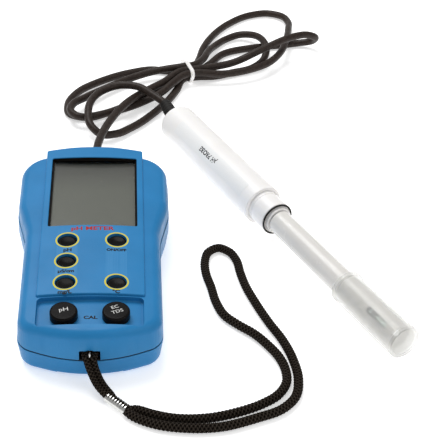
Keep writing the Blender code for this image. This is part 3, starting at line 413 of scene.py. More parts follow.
def smooth_path(points, parts_per_leg):
    """A curve that passes through the points, with tangents weighted by the nearer neighbour."""
    points = [Vector(p) for p in points]
    lengths = [(b - a).length for a, b in zip(points, points[1:])]
    tangents = [(points[1] - points[0]) / lengths[0]]
    for i in range(1, len(points) - 1):
        before, after = lengths[i - 1], lengths[i]
        arriving = (points[i] - points[i - 1]) / before
        leaving = (points[i + 1] - points[i]) / after
        tangents.append((arriving * after + leaving * before) / (before + after))
    tangents.append((points[-1] - points[-2]) / lengths[-1])
    path = []
    for i, length in enumerate(lengths):
        for step in range(parts_per_leg):
            t = step / parts_per_leg
            path.append(
                (2 * t**3 - 3 * t**2 + 1) * points[i] + (t**3 - 2 * t**2 + t) * length * tangents[i]
                + (3 * t**2 - 2 * t**3) * points[i + 1] + (t**3 - t**2) * length * tangents[i + 1])
    path.append(points[-1])
    return path


def even_path(points, step):
    """The same path with points an even distance apart."""
    walked = [0.0]
    for a, b in zip(points, points[1:]):
        walked.append(walked[-1] + (b - a).length)
    count = max(2, round(walked[-1] / step))
    even = []
    leg = 0
    for k in range(count + 1):
        target = walked[-1] * k / count
        while leg < len(points) - 2 and walked[leg + 1] < target:
            leg += 1
        share = (target - walked[leg]) / (walked[leg + 1] - walked[leg])
        even.append(points[leg].lerp(points[leg + 1], min(1.0, share)))
    return even


def swept(name, points, radius_at, sides):
    """A closed tube along points.  radius_at(distance, angle) gives its surface; frames do not twist."""
    tangents = []
    for i in range(len(points)):
        ahead = points[min(i + 1, len(points) - 1)]
        behind = points[max(i - 1, 0)]
        tangents.append((ahead - behind).normalized())
    side = tangents[0].cross(Vector((0, 0, 1))).normalized()
    distance = 0.0

    def build(bm):
        nonlocal side, distance
        rings = []
        for i, (point, tangent) in enumerate(zip(points, tangents)):
            side = (side - tangent * side.dot(tangent)).normalized()
            up = side.cross(tangent)
            if i:
                distance += (point - points[i - 1]).length
            ring = []
            for k in range(sides):
                angle = 2 * math.pi * k / sides
                reach = radius_at(distance, angle)
                ring.append(point + (side * math.cos(angle) + up * math.sin(angle)) * reach)
            rings.append(ring)
        loft(bm, rings)

    return add_object(name, mesh_from(name, build))


# ---- case geometry ------------------------------------------------------------------------------
def face_height(x, y):
    """Height of the crowned, sloping face of the panel."""
    return CASE_HEIGHT - x * x / (2 * CROWN_RADIUS) - FACE_SLOPE * (DISPLAY_END - y)


FACE_TURN = Matrix.Rotation(math.atan(FACE_SLOPE), 3, "X")
FACE_NORMAL = FACE_TURN @ Vector((0, 0, 1))


def on_face(x, y, depth):
    """The point a given depth below the uncrowned face line, along the face's normal."""
    return Vector((x, y, face_height(0, y))) - FACE_NORMAL * depth


def face_frame(x, y):
    """Local frame on the uncrowned face line: Z is the face's normal."""
    return Matrix.Translation(on_face(x, y, 0) * MM) @ FACE_TURN.to_4x4()


def seam_height(y):
    return SEAM_AT_KNOB_END + SEAM_SLOPE * (y - KNOB_END)


def rounded_outline(half_corners):
    """A closed outline, mirrored in x, whose corners are filleted arcs."""
    corners = half_corners + [(-x, y, r) for x, y, r in reversed(half_corners)]
    outline = []
    for i, (x, y, radius) in enumerate(corners):
        corner = Vector((x, y))
        before = (Vector(corners[i - 1][:2]) - corner).normalized()
        after = (Vector(corners[(i + 1) % len(corners)][:2]) - corner).normalized()
        half_angle = before.angle(after) / 2
        centre = corner + (before + after).normalized() * radius / math.sin(half_angle)
        start = corner + before * radius / math.tan(half_angle) - centre
        turn = math.pi - 2 * half_angle
        sign = 1 if before.cross(after) < 0 else -1
        steps = max(3, round(math.degrees(turn) / ARC_STEP))
        for k in range(steps + 1):
            outline.append(centre + Matrix.Rotation(sign * turn * k / steps, 2) @ start)
    return outline


def inset_outline(outline, inset):
    """Move an outline inwards along its averaged normals."""
    area = sum(a.cross(b) for a, b in zip(outline, outline[1:] + outline[:1]))
    side = 1 if area > 0 else -1
    moved = []
    for i, point in enumerate(outline):
        before = (point - outline[i - 1]).normalized()
        after = (outline[(i + 1) % len(outline)] - point).normalized()
        normal = (Vector((-before.y, before.x)) + Vector((-after.y, after.x))).normalized() * side
        stretch = 1 / max(0.5, normal.dot(Vector((-after.y, after.x)) * side))
        moved.append(point + normal * inset * stretch)
    return moved


def outline_rings(outline, levels):
    """The outline as a ring of points at each (height, inset) level."""
    return [[(p.x, p.y, height) for p in inset_outline(outline, inset)] for height, inset in levels]


def prism(name, outline, levels):
    """Loft an outline straight up through (height, inset) levels."""
    return add_object(name, mesh_from(name, lambda bm: loft(bm, outline_rings(outline, levels))))


def crowned_form(name, outline, levels):
    """Loft an outline through (height, inset) levels and bend it to the crowned, sloping face.

    Heights are those at the display end; from BEND_START to BEND_FULL the bend fades in.
    """
    def build(bm):
        loft(bm, outline_rings(outline, levels))
        low = min(p.x for p in outline)
        high = max(p.x for p in outline)
        strip = math.ceil(low / CROWN_STRIP)
        while strip * CROWN_STRIP < high:
            geometry = bm.verts[:] + bm.edges[:] + bm.faces[:]
            bmesh.ops.bisect_plane(
                bm, geom=geometry, dist=0.001, plane_co=(strip * CROWN_STRIP, 0, 0), plane_no=(1, 0, 0))
            strip += 1
        bmesh.ops.triangulate(bm, faces=bm.faces[:])
        for vert in bm.verts:
            fade = (vert.co.z - BEND_START) / (BEND_FULL - BEND_START)
            drop = CASE_HEIGHT - face_height(vert.co.x, vert.co.y)
            vert.co.z -= drop * min(1.0, max(0.0, fade))

    return add_object(name, mesh_from(name, build))


def quarter_turn(steps):
    """Sine and cosine at even steps over a quarter turn."""
    angles = [math.pi / 2 * k / steps for k in range(steps + 1)]
    return [(math.sin(angle), math.cos(angle)) for angle in angles]


def edge_levels(bottom, top, draft, radius, steps):
    """Levels of a drafted wall that ends in a quarter-round of a given radius."""
    levels = [(bottom, 0.0)]
    for sine, cosine in quarter_turn(steps):
        levels.append((top - radius + radius * sine, draft + radius - radius * cosine))
    return levels


def opening_levels(depth, lip, floor_round=0.0, steps=4):
    """Levels of a hole in the face: a rounded floor corner, a straight wall and a rounded lip."""
    floor, proud, clear = CASE_HEIGHT - depth, CASE_HEIGHT + 0.01, CASE_HEIGHT + 5
    turn = quarter_turn(steps)
    corner = turn if floor_round else turn[:1]
    levels = [(floor + floor_round * (1 - cosine), floor_round * (1 - sine)) for sine, cosine in corner]
    levels += [(proud - lip * (1 - sine), -lip * (1 - cosine)) for sine, cosine in turn]
    return levels + [(clear, -lip)]


def seam_block(name, low_side, offset):
    """A block that fills everything below (or above) the seam plane moved by an offset."""
    reach, deep = 130.0, 60.0
    turn = Matrix.Rotation(math.atan(SEAM_SLOPE), 3, "X")

    def build(bm):
        bmesh.ops.create_cube(bm, size=1.0)
        bmesh.ops.scale(bm, vec=(reach, 2 * reach, deep), verts=bm.verts)
        bmesh.ops.translate(bm, vec=(0, 0, (-1 if low_side else 1) * deep / 2), verts=bm.verts)
        bmesh.ops.rotate(bm, matrix=turn, verts=bm.verts)
        bmesh.ops.translate(bm, vec=(0, 0, seam_height(0) + offset), verts=bm.verts)

    return add_object(name, mesh_from(name, build))


def rectangle(half_width, low, high, radius):
    """A rectangle with rounded corners, centred in x."""
    return rounded_outline([(half_width, high, radius), (half_width, low, radius)])


CASE_OUTLINE = rounded_outline(CASE_CORNERS)


# ---- materials ----------------------------------------------------------------------------------
class Look:
    """A node material built round one Principled shader.  Sizes of its patterns are in millimetres."""

    def __init__(self, name, roughness=0.5, metallic=0.0):
        self.material = bpy.data.materials.new(name)
        self.material.use_nodes = True
        self.nodes = self.material.node_tree.nodes
        self.links = self.material.node_tree.links
        self.shader = self.nodes["Principled BSDF"]
        self.place = self.add("ShaderNodeTexCoord").outputs["Object"]
        self.set("Roughness", roughness)
        self.set("Metallic", metallic)

    def add(self, kind, inputs=None, **settings):
        node = self.nodes.new(kind)
        for key, value in settings.items():
            setattr(node, key, value)
        for key, value in (inputs or {}).items():
            self.feed(node.inputs[key], value)
        return node

    def feed(self, socket, value):
        if isinstance(value, bpy.types.NodeSocket):
            self.links.new(value, socket)
        else:
            socket.default_value = value

    def set(self, key, value):
        self.feed(self.shader.inputs[key], value)

    def noise(self, size, detail=2.0, place=None):
        """Soft noise with features of about a given size."""
        where = place if place is not None else self.place
        inputs = {"Vector": where, "Scale": 1 / (size * MM), "Detail": detail}
        return self.add("ShaderNodeTexNoise", inputs).outputs["Fac"]

    def stretched(self, scale, turn=0.0):
        """Object coordinates stretched by a factor on each axis, after a turn about Z in degrees."""
        inputs = {"Vector": self.place, "Scale": scale, "Rotation": (0, 0, math.radians(turn))}
        return self.add("ShaderNodeMapping", inputs).outputs["Vector"]

    def span(self, factor, low, high, start=0.35, end=0.65):
        """A factor remapped from start..end to low..high."""
        inputs = {"Value": factor, "From Min": start, "From Max": end, "To Min": low, "To Max": high}
        return self.add("ShaderNodeMapRange", inputs).outputs["Result"]

    def patches(self, size, detail=2.0, low=0.0, high=1.0):
        """Soft patches of about a given size, from low to high."""
        return self.span(self.noise(size, detail), low, high)

    def blend(self, factor, first, second):
        node = self.add("ShaderNodeMix", {"Factor": factor}, data_type="RGBA")
        self.feed(node.inputs[6], first if isinstance(first, bpy.types.NodeSocket) else (*first, 1.0))
        self.feed(node.inputs[7], second if isinstance(second, bpy.types.NodeSocket) else (*second, 1.0))
        return node.outputs[2]

    def sum(self, first, second, weight=1.0):
        inputs = {0: second, 1: weight, 2: first}
        return self.add("ShaderNodeMath", inputs, operation="MULTIPLY_ADD").outputs["Value"]

    def relief(self, height, depth, strength=1.0):
        """Surface relief; depth is the height difference of the pattern, in millimetres."""
        inputs = {"Height": height, "Distance": depth * MM, "Strength": strength}
        self.set("Normal", self.add("ShaderNodeBump", inputs).outputs["Normal"])

    def show_mix(self, share, first, second):
        """Show two shaders mixed; a share of 0 is all of the first."""
        mix = self.add("ShaderNodeMixShader", {0: share})
        self.links.new(first.outputs[0], mix.inputs[1])
        self.links.new(second.outputs[0], mix.inputs[2])
        self.links.new(mix.outputs[0], self.nodes["Material Output"].inputs["Surface"])

    # Picks out convex edges for a painted highlight.
    def edge_highlight_mask(self, low=0.52, high=0.62):
        """0 on flat places and 1 on convex edges."""
        pointiness = self.add("ShaderNodeNewGeometry").outputs["Pointiness"]
        return self.span(pointiness, 0.0, 1.0, low, high)


def grained_plastic(name, colour, roughness, grain=0.25, depth=0.012, variation=0.06, edge_highlight=None, gloss=0.4):
    """Moulded plastic: a fine grain, a slow drift of shade and roughness, and a painted highlight that
    lightens convex edges.
    """
    look = Look(name)
    drift = look.noise(28.0, 3.0)
    darker = tuple(c * (1 - variation) for c in colour)
    lighter = tuple(min(1.0, c * (1 + variation) + 0.004) for c in colour)
    tone = look.blend(look.span(drift, 0.0, 1.0), darker, lighter)
    speckle = look.patches(0.6, 2.0, 0.0, 0.22)
    tone = look.blend(speckle, tone, lighter)
    # Painted highlight: convex edges take the lighter edge colour.
    if edge_highlight:
        tone = look.blend(look.edge_highlight_mask(), tone, edge_highlight)
    look.set("Base Color", tone)
    smudge = look.noise(9.0, 4.0)
    look.set("Roughness", look.span(smudge, roughness - 0.05, roughness + 0.07))
    look.relief(look.noise(grain, 2.0), depth, 0.7)
    look.set("Specular IOR Level", gloss)
    return look.material


def case_blue():
    # The edge colour is a painted highlight, a brighter blue.
    return grained_plastic("case_blue", BLUE, 0.38, grain=0.35, edge_highlight=(0.05, 0.26, 0.54), gloss=0.2)


def black_plastic():
    # The edge colour is a painted highlight on the black parts.
    edge_highlight = (0.011, 0.009, 0.008)
    return grained_plastic(
        "black_plastic", (0.003, 0.0023, 0.0022), 0.22, grain=0.30, variation=0.25, edge_highlight=edge_highlight, gloss=0.05)


def soft_rubber():
    return grained_plastic(
        "soft_rubber", (0.012, 0.011, 0.010), 0.55, grain=0.5, depth=0.02, variation=0.3, gloss=0.2)


def white_plastic():
    look = Look("white_plastic")
    tone = look.patches(22.0, 3.0)
    look.set("Base Color", look.blend(tone, WHITE_SHADE, WHITE))
    look.set("Roughness", look.patches(7.0, 3.0, 0.30, 0.35))
    look.set("Subsurface Weight", 0.25)
    look.set("Subsurface Radius", (0.004, 0.004, 0.0035))
    look.relief(look.noise(1.1, 3.0), 0.01, 0.5)
    return look.material


def label_film():
    """Matt printed film with a slight orange-peel surface."""
    look = Look("label_film")
    fibres = look.noise(0.5, 4.0)
    look.set("Base Color", look.blend(look.span(fibres, 0.0, 0.6), (0.86, 0.86, 0.85), (0.92, 0.92, 0.91)))
    look.set("Roughness", look.patches(4.0, 2.0, 0.42, 0.55))
    look.relief(look.noise(0.8, 3.0), 0.008, 0.6)
    return look.material


def ink(name, colour):
    """Screen print: slightly uneven cover and a dry sheen."""
    look = Look(name)
    cover = look.patches(0.45, 3.0, 0.0, 0.35)
    look.set("Base Color", look.blend(cover, colour, tuple(c * 0.72 for c in colour)))
    look.set("Roughness", look.patches(1.5, 2.0, 0.38, 0.52))
    look.set("Specular IOR Level", 0.15)
    look.relief(look.noise(0.2), 0.006, 0.6)
    return look.material


def cable_jacket():
    """Smooth PVC with faint extrusion streaks and a warm cast."""
    look = Look("cable_jacket")
    streaks = look.noise(1.4, 4.0)
    look.set("Base Color", look.blend(look.span(streaks, 0.0, 1.0), CABLE_DARK, CABLE_LIGHT))
    look.set("Roughness", look.patches(6.0, 3.0, 0.36, 0.50))
    look.set("Specular IOR Level", 0.2)
    look.relief(look.noise(0.7, 3.0), 0.012, 0.6)
    return look.material


def braided_fibre():
    """Fine polyester filaments, with painted shade that darkens the valleys of the braid."""
    look = Look("braided_fibre", roughness=0.72)
    crest = look.add("ShaderNodeAttribute", attribute_name="crest").outputs["Fac"]
    depth = look.span(crest, 0.0, 1.0, 0.35, 0.95)
    thread = look.noise(0.12, 3.0)
    # Painted shade: the braid is darker in its valleys and lighter on its crests.
    tone = look.blend(depth, (0.0015, 0.0012, 0.001), (0.040, 0.029, 0.020))
    look.set("Base Color", look.blend(look.span(thread, 0.0, 0.4), tone, (0.006, 0.005, 0.004)))
    look.set("Specular IOR Level", look.span(crest, 0.0, 0.3, 0.5, 1.0))
    look.relief(thread, 0.03, 0.8)
    return look.material


def polished_metal(name, colour, roughness, streak=(60, 60, 900)):
    """Plated or machined metal with fine brushing and a few dull patches."""
    look = Look(name, metallic=1.0)
    brushed = look.noise(1000.0, 4.0, look.stretched(streak))
    dull = look.patches(3.0, 3.0)
    look.set("Base Color", look.blend(dull, colour, tuple(c * 0.82 for c in colour)))
    look.set("Roughness", look.span(brushed, roughness * 0.7, roughness * 1.3))
    look.relief(brushed, 0.006, 0.5)
    return look.material


def translucent(name, colour, clear, roughness, cloud):
    """Moulded polypropylene that lets a share of the light through, with a cloudy flow pattern."""
    look = Look(name)
    flow = look.noise(16.0, 4.0)
    look.set("Base Color", look.blend(look.span(flow, 0.0, 1.0), tuple(c * cloud for c in colour), colour))
    look.set("Roughness", look.patches(5.0, 3.0, roughness - 0.04, roughness + 0.06))
    look.set("Subsurface Weight", 0.35)
    look.set("Subsurface Radius", (0.006, 0.006, 0.0055))
    look.relief(look.noise(0.9, 3.0), 0.01, 0.5)
    glass = look.add("ShaderNodeBsdfTransparent", {"Color": (0.97, 0.975, 0.97, 1)})
    rim = look.add("ShaderNodeLayerWeight", {"Blend": 0.35}).outputs["Facing"]
    share = look.span(rim, 1 - clear, 1 - clear * 0.35, 0.0, 1.0)
    look.show_mix(share, glass, look.shader)
    return look.material


def clear_lens():
    """A clear window with fine scratches: a thin reflection over what lies behind."""
    look = Look("clear_lens")
    scratches = look.noise(1000.0, 6.0, look.stretched((40, 700, 40), 25.0))
    roughness = look.span(scratches, 0.03, 0.12, 0.4, 0.75)
    gloss = look.add("ShaderNodeBsdfGlossy", {"Roughness": roughness, "Color": (1, 1, 1, 1)})
    clear = look.add("ShaderNodeBsdfTransparent", {"Color": (0.985, 0.985, 0.98, 1)})
    facing = look.add("ShaderNodeLayerWeight", {"Blend": 0.5}).outputs["Facing"]
    grazing = look.add("ShaderNodeMath", {0: facing, 1: 5.0}, operation="POWER").outputs["Value"]
    look.show_mix(look.span(grazing, 0.03, 1.0, 0.0, 1.0), clear, gloss)
    look.nodes.remove(look.shader)
    return look.material


def display_glass():
    """Reflective liquid crystal: grey-green, with painted shade that darkens it towards the display end, and
    a few dust specks.
    """
    look = Look("display_glass")
    split = look.add("ShaderNodeSeparateXYZ", {"Vector": look.place})
    # Painted shade under the window's top wall: the glass is darker towards the display end.
    along = look.span(split.outputs["Y"], 0.0, 1.0, 62 * MM, 40 * MM)
    tone = look.blend(along, LCD_SHADED, LCD_LIT)
    cells = look.add("ShaderNodeTexVoronoi", {"Vector": look.place, "Scale": 1 / (2.6 * MM)})
    speck = look.span(cells.outputs["Distance"], 1.0, 0.0, 0.05, 0.075)
    rare = look.span(look.noise(11.0, 1.0), 0.0, 1.0, 0.60, 0.64)
    dust = look.add("ShaderNodeMath", {0: speck, 1: rare}, operation="MULTIPLY").outputs["Value"]
    look.set("Base Color", look.blend(dust, tone, (0.75, 0.76, 0.72)))
    look.set("Roughness", look.patches(3.0, 3.0, 0.28, 0.36))
    look.relief(look.noise(0.3), 0.003, 0.4)
    return look.material


def solder_mask():
    """Green board with a grid of traces and tinned pads."""
    look = Look("solder_mask", roughness=0.35)
    bricks = look.add("ShaderNodeTexBrick", {
        "Vector": look.place, "Scale": 1 / (5.0 * MM), "Color1": (0.014, 0.115, 0.038, 1),
        "Color2": (0.018, 0.140, 0.050, 1), "Mortar": (0.045, 0.22, 0.08, 1), "Mortar Size": 0.03})
    dots = look.add("ShaderNodeTexVoronoi", {"Vector": look.place, "Scale": 1 / (2.5 * MM)})
    pad = look.span(dots.outputs["Distance"], 1.0, 0.0, 0.12, 0.16)
    look.set("Base Color", look.blend(pad, bricks.outputs["Color"], (0.55, 0.53, 0.48)))
    look.set("Metallic", pad)
    look.relief(look.sum(bricks.outputs["Fac"], pad), 0.03)
    return look.material


def battery_jacket():
    """Printed steel jacket: plain dark body with a copper-coloured end band."""
    look = Look("battery_jacket", metallic=0.6)
    split = look.add("ShaderNodeSeparateXYZ", {"Vector": look.place})
    band = look.span(split.outputs["Y"], 0.0, 1.0, 10 * MM, 10.2 * MM)
    look.set("Base Color", look.blend(band, (0.02, 0.021, 0.024), (0.42, 0.20, 0.09)))
    look.set("Roughness", look.patches(4.0, 3.0, 0.25, 0.4))
    look.relief(look.noise(0.6, 2.0), 0.01, 0.5)
    return look.material


def blown_glass():
    """Thin glass of the sensing bulb, tinted and slightly wavy."""
    look = Look("blown_glass", roughness=0.04)
    look.set("Base Color", look.blend(look.noise(2.0), (0.62, 0.78, 0.70), (0.80, 0.90, 0.86)))
    look.set("Transmission Weight", 0.8)
    look.relief(look.noise(1.5, 2.0), 0.02, 0.4)
    return look.material


# Colours, linear.
BLUE = (0.016, 0.200, 0.465)
WHITE = (0.93, 0.915, 0.90)
WHITE_SHADE = (0.89, 0.87, 0.85)
CABLE_DARK = (0.019, 0.0125, 0.0098)
CABLE_LIGHT = (0.035, 0.0245, 0.0192)
# Lit and shaded tones of the display glass, for its painted shade.
LCD_SHADED = (0.030, 0.032, 0.026)
LCD_LIT = (0.084, 0.092, 0.073)
RING_YELLOW = (0.72, 0.62, 0.045)

LOOK_BLUE = case_blue()
LOOK_BLACK = black_plastic()
LOOK_RUBBER = soft_rubber()
LOOK_WHITE = white_plastic()
LOOK_LABEL = label_film()
LOOK_YELLOW_INK = ink("yellow_ink", RING_YELLOW)
LOOK_DARK_INK = ink("dark_ink", (0.004, 0.006, 0.009))
LOOK_RED_INK = ink("red_ink", (0.42, 0.022, 0.012))
LOOK_WHITE_INK = ink("white_ink", (0.78, 0.78, 0.76))
LOOK_CABLE = cable_jacket()
LOOK_BRAID = braided_fibre()
LOOK_STEEL = polished_metal("plated_steel", (0.70, 0.70, 0.68), 0.28)
LOOK_BRASS = polished_metal("machined_brass", (0.74, 0.54, 0.24), 0.32)
LOOK_SLEEVE = translucent("sleeve_plastic", (0.84, 0.82, 0.785), 0.10, 0.22, 0.95)
LOOK_CAP = translucent("cap_plastic", (0.90, 0.885, 0.86), 0.80, 0.18, 0.96)
LOOK_LENS = clear_lens()
LOOK_DISPLAY = display_glass()
LOOK_BOARD = solder_mask()
LOOK_BATTERY = battery_jacket()
LOOK_GLASS = blown_glass()
LOOK_STEM = grained_plastic("stem_resin", (0.012, 0.035, 0.024), 0.35)
LOOK_RED = grained_plastic("red_insulation", (0.42, 0.02, 0.018), 0.42)


# ---- case pieces --------------------------------------------------------------------------------
def make_front_case():
    """The front shell: a crowned body with wings and a raised panel, hollowed and opened in turn."""
    wing_levels = edge_levels(6.0, CASE_HEIGHT - WING_DROP, SHOULDER_DRAFT, EDGE_ROUND, 12)
    shell = crowned_form("case_front", CASE_OUTLINE, wing_levels)
    panel = crowned_form("panel", panel_outline(), edge_levels(PANEL_LEDGE, CASE_HEIGHT, 0.4, 0.7, 5))
    carve(shell, unions=[panel])
    for cutters in (front_hollows, face_openings, strap_openings):
        carve(shell, cutters())
    finish_piece(shell, LOOK_BLUE, "case", ["front_shell"])


def front_hollows():
    """The space behind the panel, the lower one behind the wings and all below the seam."""
    cavity = rectangle(32.0, PANEL_END + 2.5, 66.0, 4.0)
    return [
        crowned_form("upper_cavity", cavity, [(8.0, 0.0), (CASE_HEIGHT - PANEL_WALL, 0.0)]),
        crowned_form("lower_cavity", CASE_OUTLINE, [
            (4.0, WALL), (CASE_HEIGHT - POCKET_WALL, WALL + SHOULDER_DRAFT)]),
        seam_block("below_seam", True, SEAM_GAP)]


def face_openings():
    """The window with the seat of its lens, the knob pocket and the holes for keys and shafts."""
    window = rectangle(WINDOW_HALF_WIDTH, WINDOW_BOTTOM, WINDOW_TOP, 1.0)
    pocket = rectangle(POCKET_HALF_WIDTH, POCKET_END, PANEL_END - 0.3, 2.5)
    half = LENS_HALF_WIDTH + 0.5
    seat_low, seat_high = (-half, WINDOW_BOTTOM - 3.1, -11.0), (half, WINDOW_TOP + 2.8, -WINDOW_WALL)
    openings = [
        crowned_form("window_hole", window, opening_levels(8.0, 0.45)),
        box("lens_seat", seat_low, seat_high, tilt=True),
        crowned_form("knob_pocket", pocket, opening_levels(POCKET_DEPTH, 0.5, 0.8))]
    openings += [key_hole(name, x, y) for name, (x, y) in KEYS.items()]
    for side in (-1, 1):
        top = on_face(side * KNOB_X, KNOB_Y, 0)
        inside, outside = top - FACE_NORMAL * 9, top + FACE_NORMAL * 2
        openings.append(rod(f"shaft_hole_{side}", SHAFT_RADIUS + GAP, inside, outside))
    return openings


def panel_outline():
    """The raised panel: square at the knob end, bulging a little at the display end."""
    return rounded_outline([
        (10.0, DISPLAY_END + PANEL_BULGE, 90.0), (PANEL_HALF_WIDTH, DISPLAY_END, 1.5),
        (PANEL_HALF_WIDTH, PANEL_END, 1.5)])


def key_hole(name, x, y):
    """A hole square to the crowned face, with a rounded lip."""
    lip = 0.3
    profile = [(0, -8.0), (KEY_HOLE_RADIUS, -8.0)]
    profile += arc((KEY_HOLE_RADIUS + lip, -lip), lip, 180, 90, 5) + [(KEY_HOLE_RADIUS + lip, 4.0), (0, 4.0)]
    crown_turn = Matrix.Rotation(x / CROWN_RADIUS, 4, "Y")
    return turned(f"{name}_hole", profile, face_frame(x, y) @ crown_turn, 72)


def strap_openings():
    """The slot for the strap with softened ends, the scoop above it and the bore of its pin."""
    x, y = STRAP_PIN
    roof = STRAP_HEIGHT + 2.4
    slot = soften(box("strap_slot", (-5, -80, 8), (5, y + 5.0, roof)), 0.8, 4)
    scoop_y = y - SCOOP_RADIUS - 0.65
    scoop = rod("slot_scoop", 3.2, (0, scoop_y - 1, roof + 7), (0, scoop_y, roof - 2), 64, SCOOP_RADIUS)
    pin_bore = rod("pin_bore", PIN_RADIUS + 0.1, (x, y, STRAP_HEIGHT), (x, y, roof + 0.8))
    return [slot, scoop, pin_bore]


def make_rear_case():
    """The rear shell: rounded back edge, hollow inside, and openings for door, battery, plug and screws."""
    back_inset, side_inset = 1.2, 0.2
    levels = []
    for sine, cosine in quarter_turn(8):
        levels.append((BACK_ROUND * (1 - cosine), back_inset + BACK_ROUND * (1 - sine)))
    levels += [(11.9, side_inset), (29.0, side_inset)]
    shell = prism("case_rear", CASE_OUTLINE, levels)
    floor = DOOR_THICKNESS + GAP + 2.0
    hollow = [(floor, WALL + 1.8), (floor + 3, WALL + 0.4), (35.0, WALL + 0.4)]
    carve(shell, [
        prism("rear_cavity", CASE_OUTLINE, hollow), seam_block("above_seam", False, -SEAM_GAP)])
    half = DOOR_HALF_WIDTH + 0.15
    width, length = BATTERY_SIZE
    battery_low = (-width / 2 - 0.8, BATTERY_CENTRE_Y - length / 2 - 0.8, 1)
    battery_high = (width / 2 + 0.8, BATTERY_CENTRE_Y + length / 2 + 2.5, 12)
    inside, outside = (0, 60, SOCKET_HEIGHT), (0, 80, SOCKET_HEIGHT)
    cutters = [
        box("door_channel", (-half, -90, -5), (half, DOOR_TOP + 0.15, DOOR_THICKNESS + GAP)),
        box("battery_hole", battery_low, battery_high),
        rod("socket_hole", SOCKET_THREAD + 0.1, inside, outside, 64)]
    for i, (x, y) in enumerate(SCREW_PLACES):
        cutters.append(rod(f"screw_head_hole_{i}", 3.2, (x, y, -1.0), (x, y, 3.6)))
        cutters.append(rod(f"screw_hole_{i}", 1.5, (x, y, 2.0), (x, y, 6.0)))
    carve(shell, cutters)
    finish_piece(shell, LOOK_BLUE, "case", ["rear_shell"])


def make_gasket():
    """The dark band in the seam, set a little inside the case's outline."""
    high = 40.0
    gasket = prism("seam_gasket", CASE_OUTLINE, [(0.0, 0.55), (high, 0.55)])
    carve(gasket, [
        prism("gasket_inside", CASE_OUTLINE, [(-1.0, 2.2), (high + 1, 2.2)]),
        seam_block("under_gasket", True, -GASKET_THICKNESS / 2),
        seam_block("over_gasket", False, GASKET_THICKNESS / 2)])
    finish_piece(gasket, LOOK_RUBBER, "case", ["case_gasket"])


def make_battery_door():
    """The sliding door, with softened edges and grooves for a finger."""
    half = DOOR_HALF_WIDTH
    plate = box("battery_cover_plate", (-half, DOOR_BOTTOM, 0), (half, DOOR_TOP, DOOR_THICKNESS))
    door = soften(plate, 0.35)
    cutters = []
    groove_count, groove_step, groove_width, groove_depth = 5, 2.4, 1.0, 0.6
    for k in range(groove_count):
        y = DOOR_BOTTOM + 6 + groove_step * k
        groove = box(f"grip_groove_{k}", (-9, y, -1), (9, y + groove_width, groove_depth))
        cutters.append(soften(groove, 0.3))
    carve(door, cutters)
    finish_piece(door, LOOK_BLUE, "battery_cover", ["battery_door"])


def make_screws():
    """Pan-head screws with a cross recess, deep in their holes."""
    for i, (x, y) in enumerate(SCREW_PLACES):
        tip = seam_height(y) + 5.0
        profile = [(0, tip), (0.7, tip), (1.2, tip - 1.2), (1.2, 3.0), (2.7, 2.6), (2.7, 1.7)]
        profile += arc((2.2, 1.7), 0.5, 0, -90, 4)[1:] + [(0, 1.2)]
        screw = turned(f"cover_screw_{i + 1}", profile, at_point(x, y), 48)
        arms = [
            box(f"cross_{i}_a", (x - 1.7, y - 0.3, 0.6), (x + 1.7, y + 0.3, 2.1)),
            box(f"cross_{i}_b", (x - 0.3, y - 1.7, 0.6), (x + 0.3, y + 1.7, 2.1))]
        carve(screw, arms)
        finish_piece(screw, LOOK_STEEL, "case", [f"case_screw_{i + 1}"])


# ---- print --------------------------------------------------------------------------------------
def on_crown(depth=0.0):
    """Places flat artwork (x, y, lift) on the crowned face, or a given depth below it."""
    def place(point):
        return Vector((point.x, point.y, face_height(point.x, point.y) - depth + point.z))
    return place


def on_frame(matrix, height):
    """Places flat artwork on the local XY plane of a matrix, at a height along its Z."""
    def place(point):
        return matrix @ Vector((point.x * MM, point.y * MM, (point.z + height) * MM)) / MM
    return place


def printed(name, mesh, place, look, body):
    """Lay flat artwork on a surface as a thin film of ink."""
    for vert in mesh.vertices:
        vert.co = place(Vector(vert.co)) * MM
    finish_piece(add_object(name, mesh), look, body)


def lettering(name, text, size, centre=(0, 0), turn=0.0, wide=1.0, weight=0.07):
    """Flat text as a closed film, in millimetres, centred on a point."""
    curve = bpy.data.curves.new(name, "FONT")
    curve.body = text
    curve.size = size
    curve.align_x = "CENTER"
    curve.align_y = "CENTER"
    curve.space_line = 1.12
    curve.extrude = INK
    curve.offset = weight
    curve.resolution_u = 4
    guide = add_object(name + "_guide", curve)
    evaluated = guide.evaluated_get(bpy.context.evaluated_depsgraph_get())
    mesh = bpy.data.meshes.new_from_object(evaluated)
    bpy.data.objects.remove(guide)
    bm = bmesh.new()
    bm.from_mesh(mesh)
    bmesh.ops.remove_doubles(bm, verts=bm.verts, dist=0.0005)
    bmesh.ops.triangulate(bm, faces=bm.faces)
    spin = Matrix.Rotation(math.radians(turn), 3, "Z")
    for vert in bm.verts:
        vert.co = spin @ Vector((vert.co.x * wide, vert.co.y, vert.co.z))
        vert.co += Vector((centre[0], centre[1], 0))
    bm.to_mesh(mesh)
    bm.free()
    return mesh


def ring_film(name, x, y, radius, width, steps=96):
    """A flat printed ring as a closed film."""
    def build(bm):
        rings = []
        for k in range(steps):
            angle = 2 * math.pi * k / steps
            section = []
            for reach, lift in ((-width / 2, -INK), (width / 2, -INK), (width / 2, INK), (-width / 2, INK)):
                r = radius + reach
                section.append((x + r * math.cos(angle), y + r * math.sin(angle), lift))
            rings.append(section)
        loft(bm, rings, closed=True)

    mesh = mesh_from(name, build)
    mesh.transform(Matrix.Scale(1 / MM, 4))
    return mesh


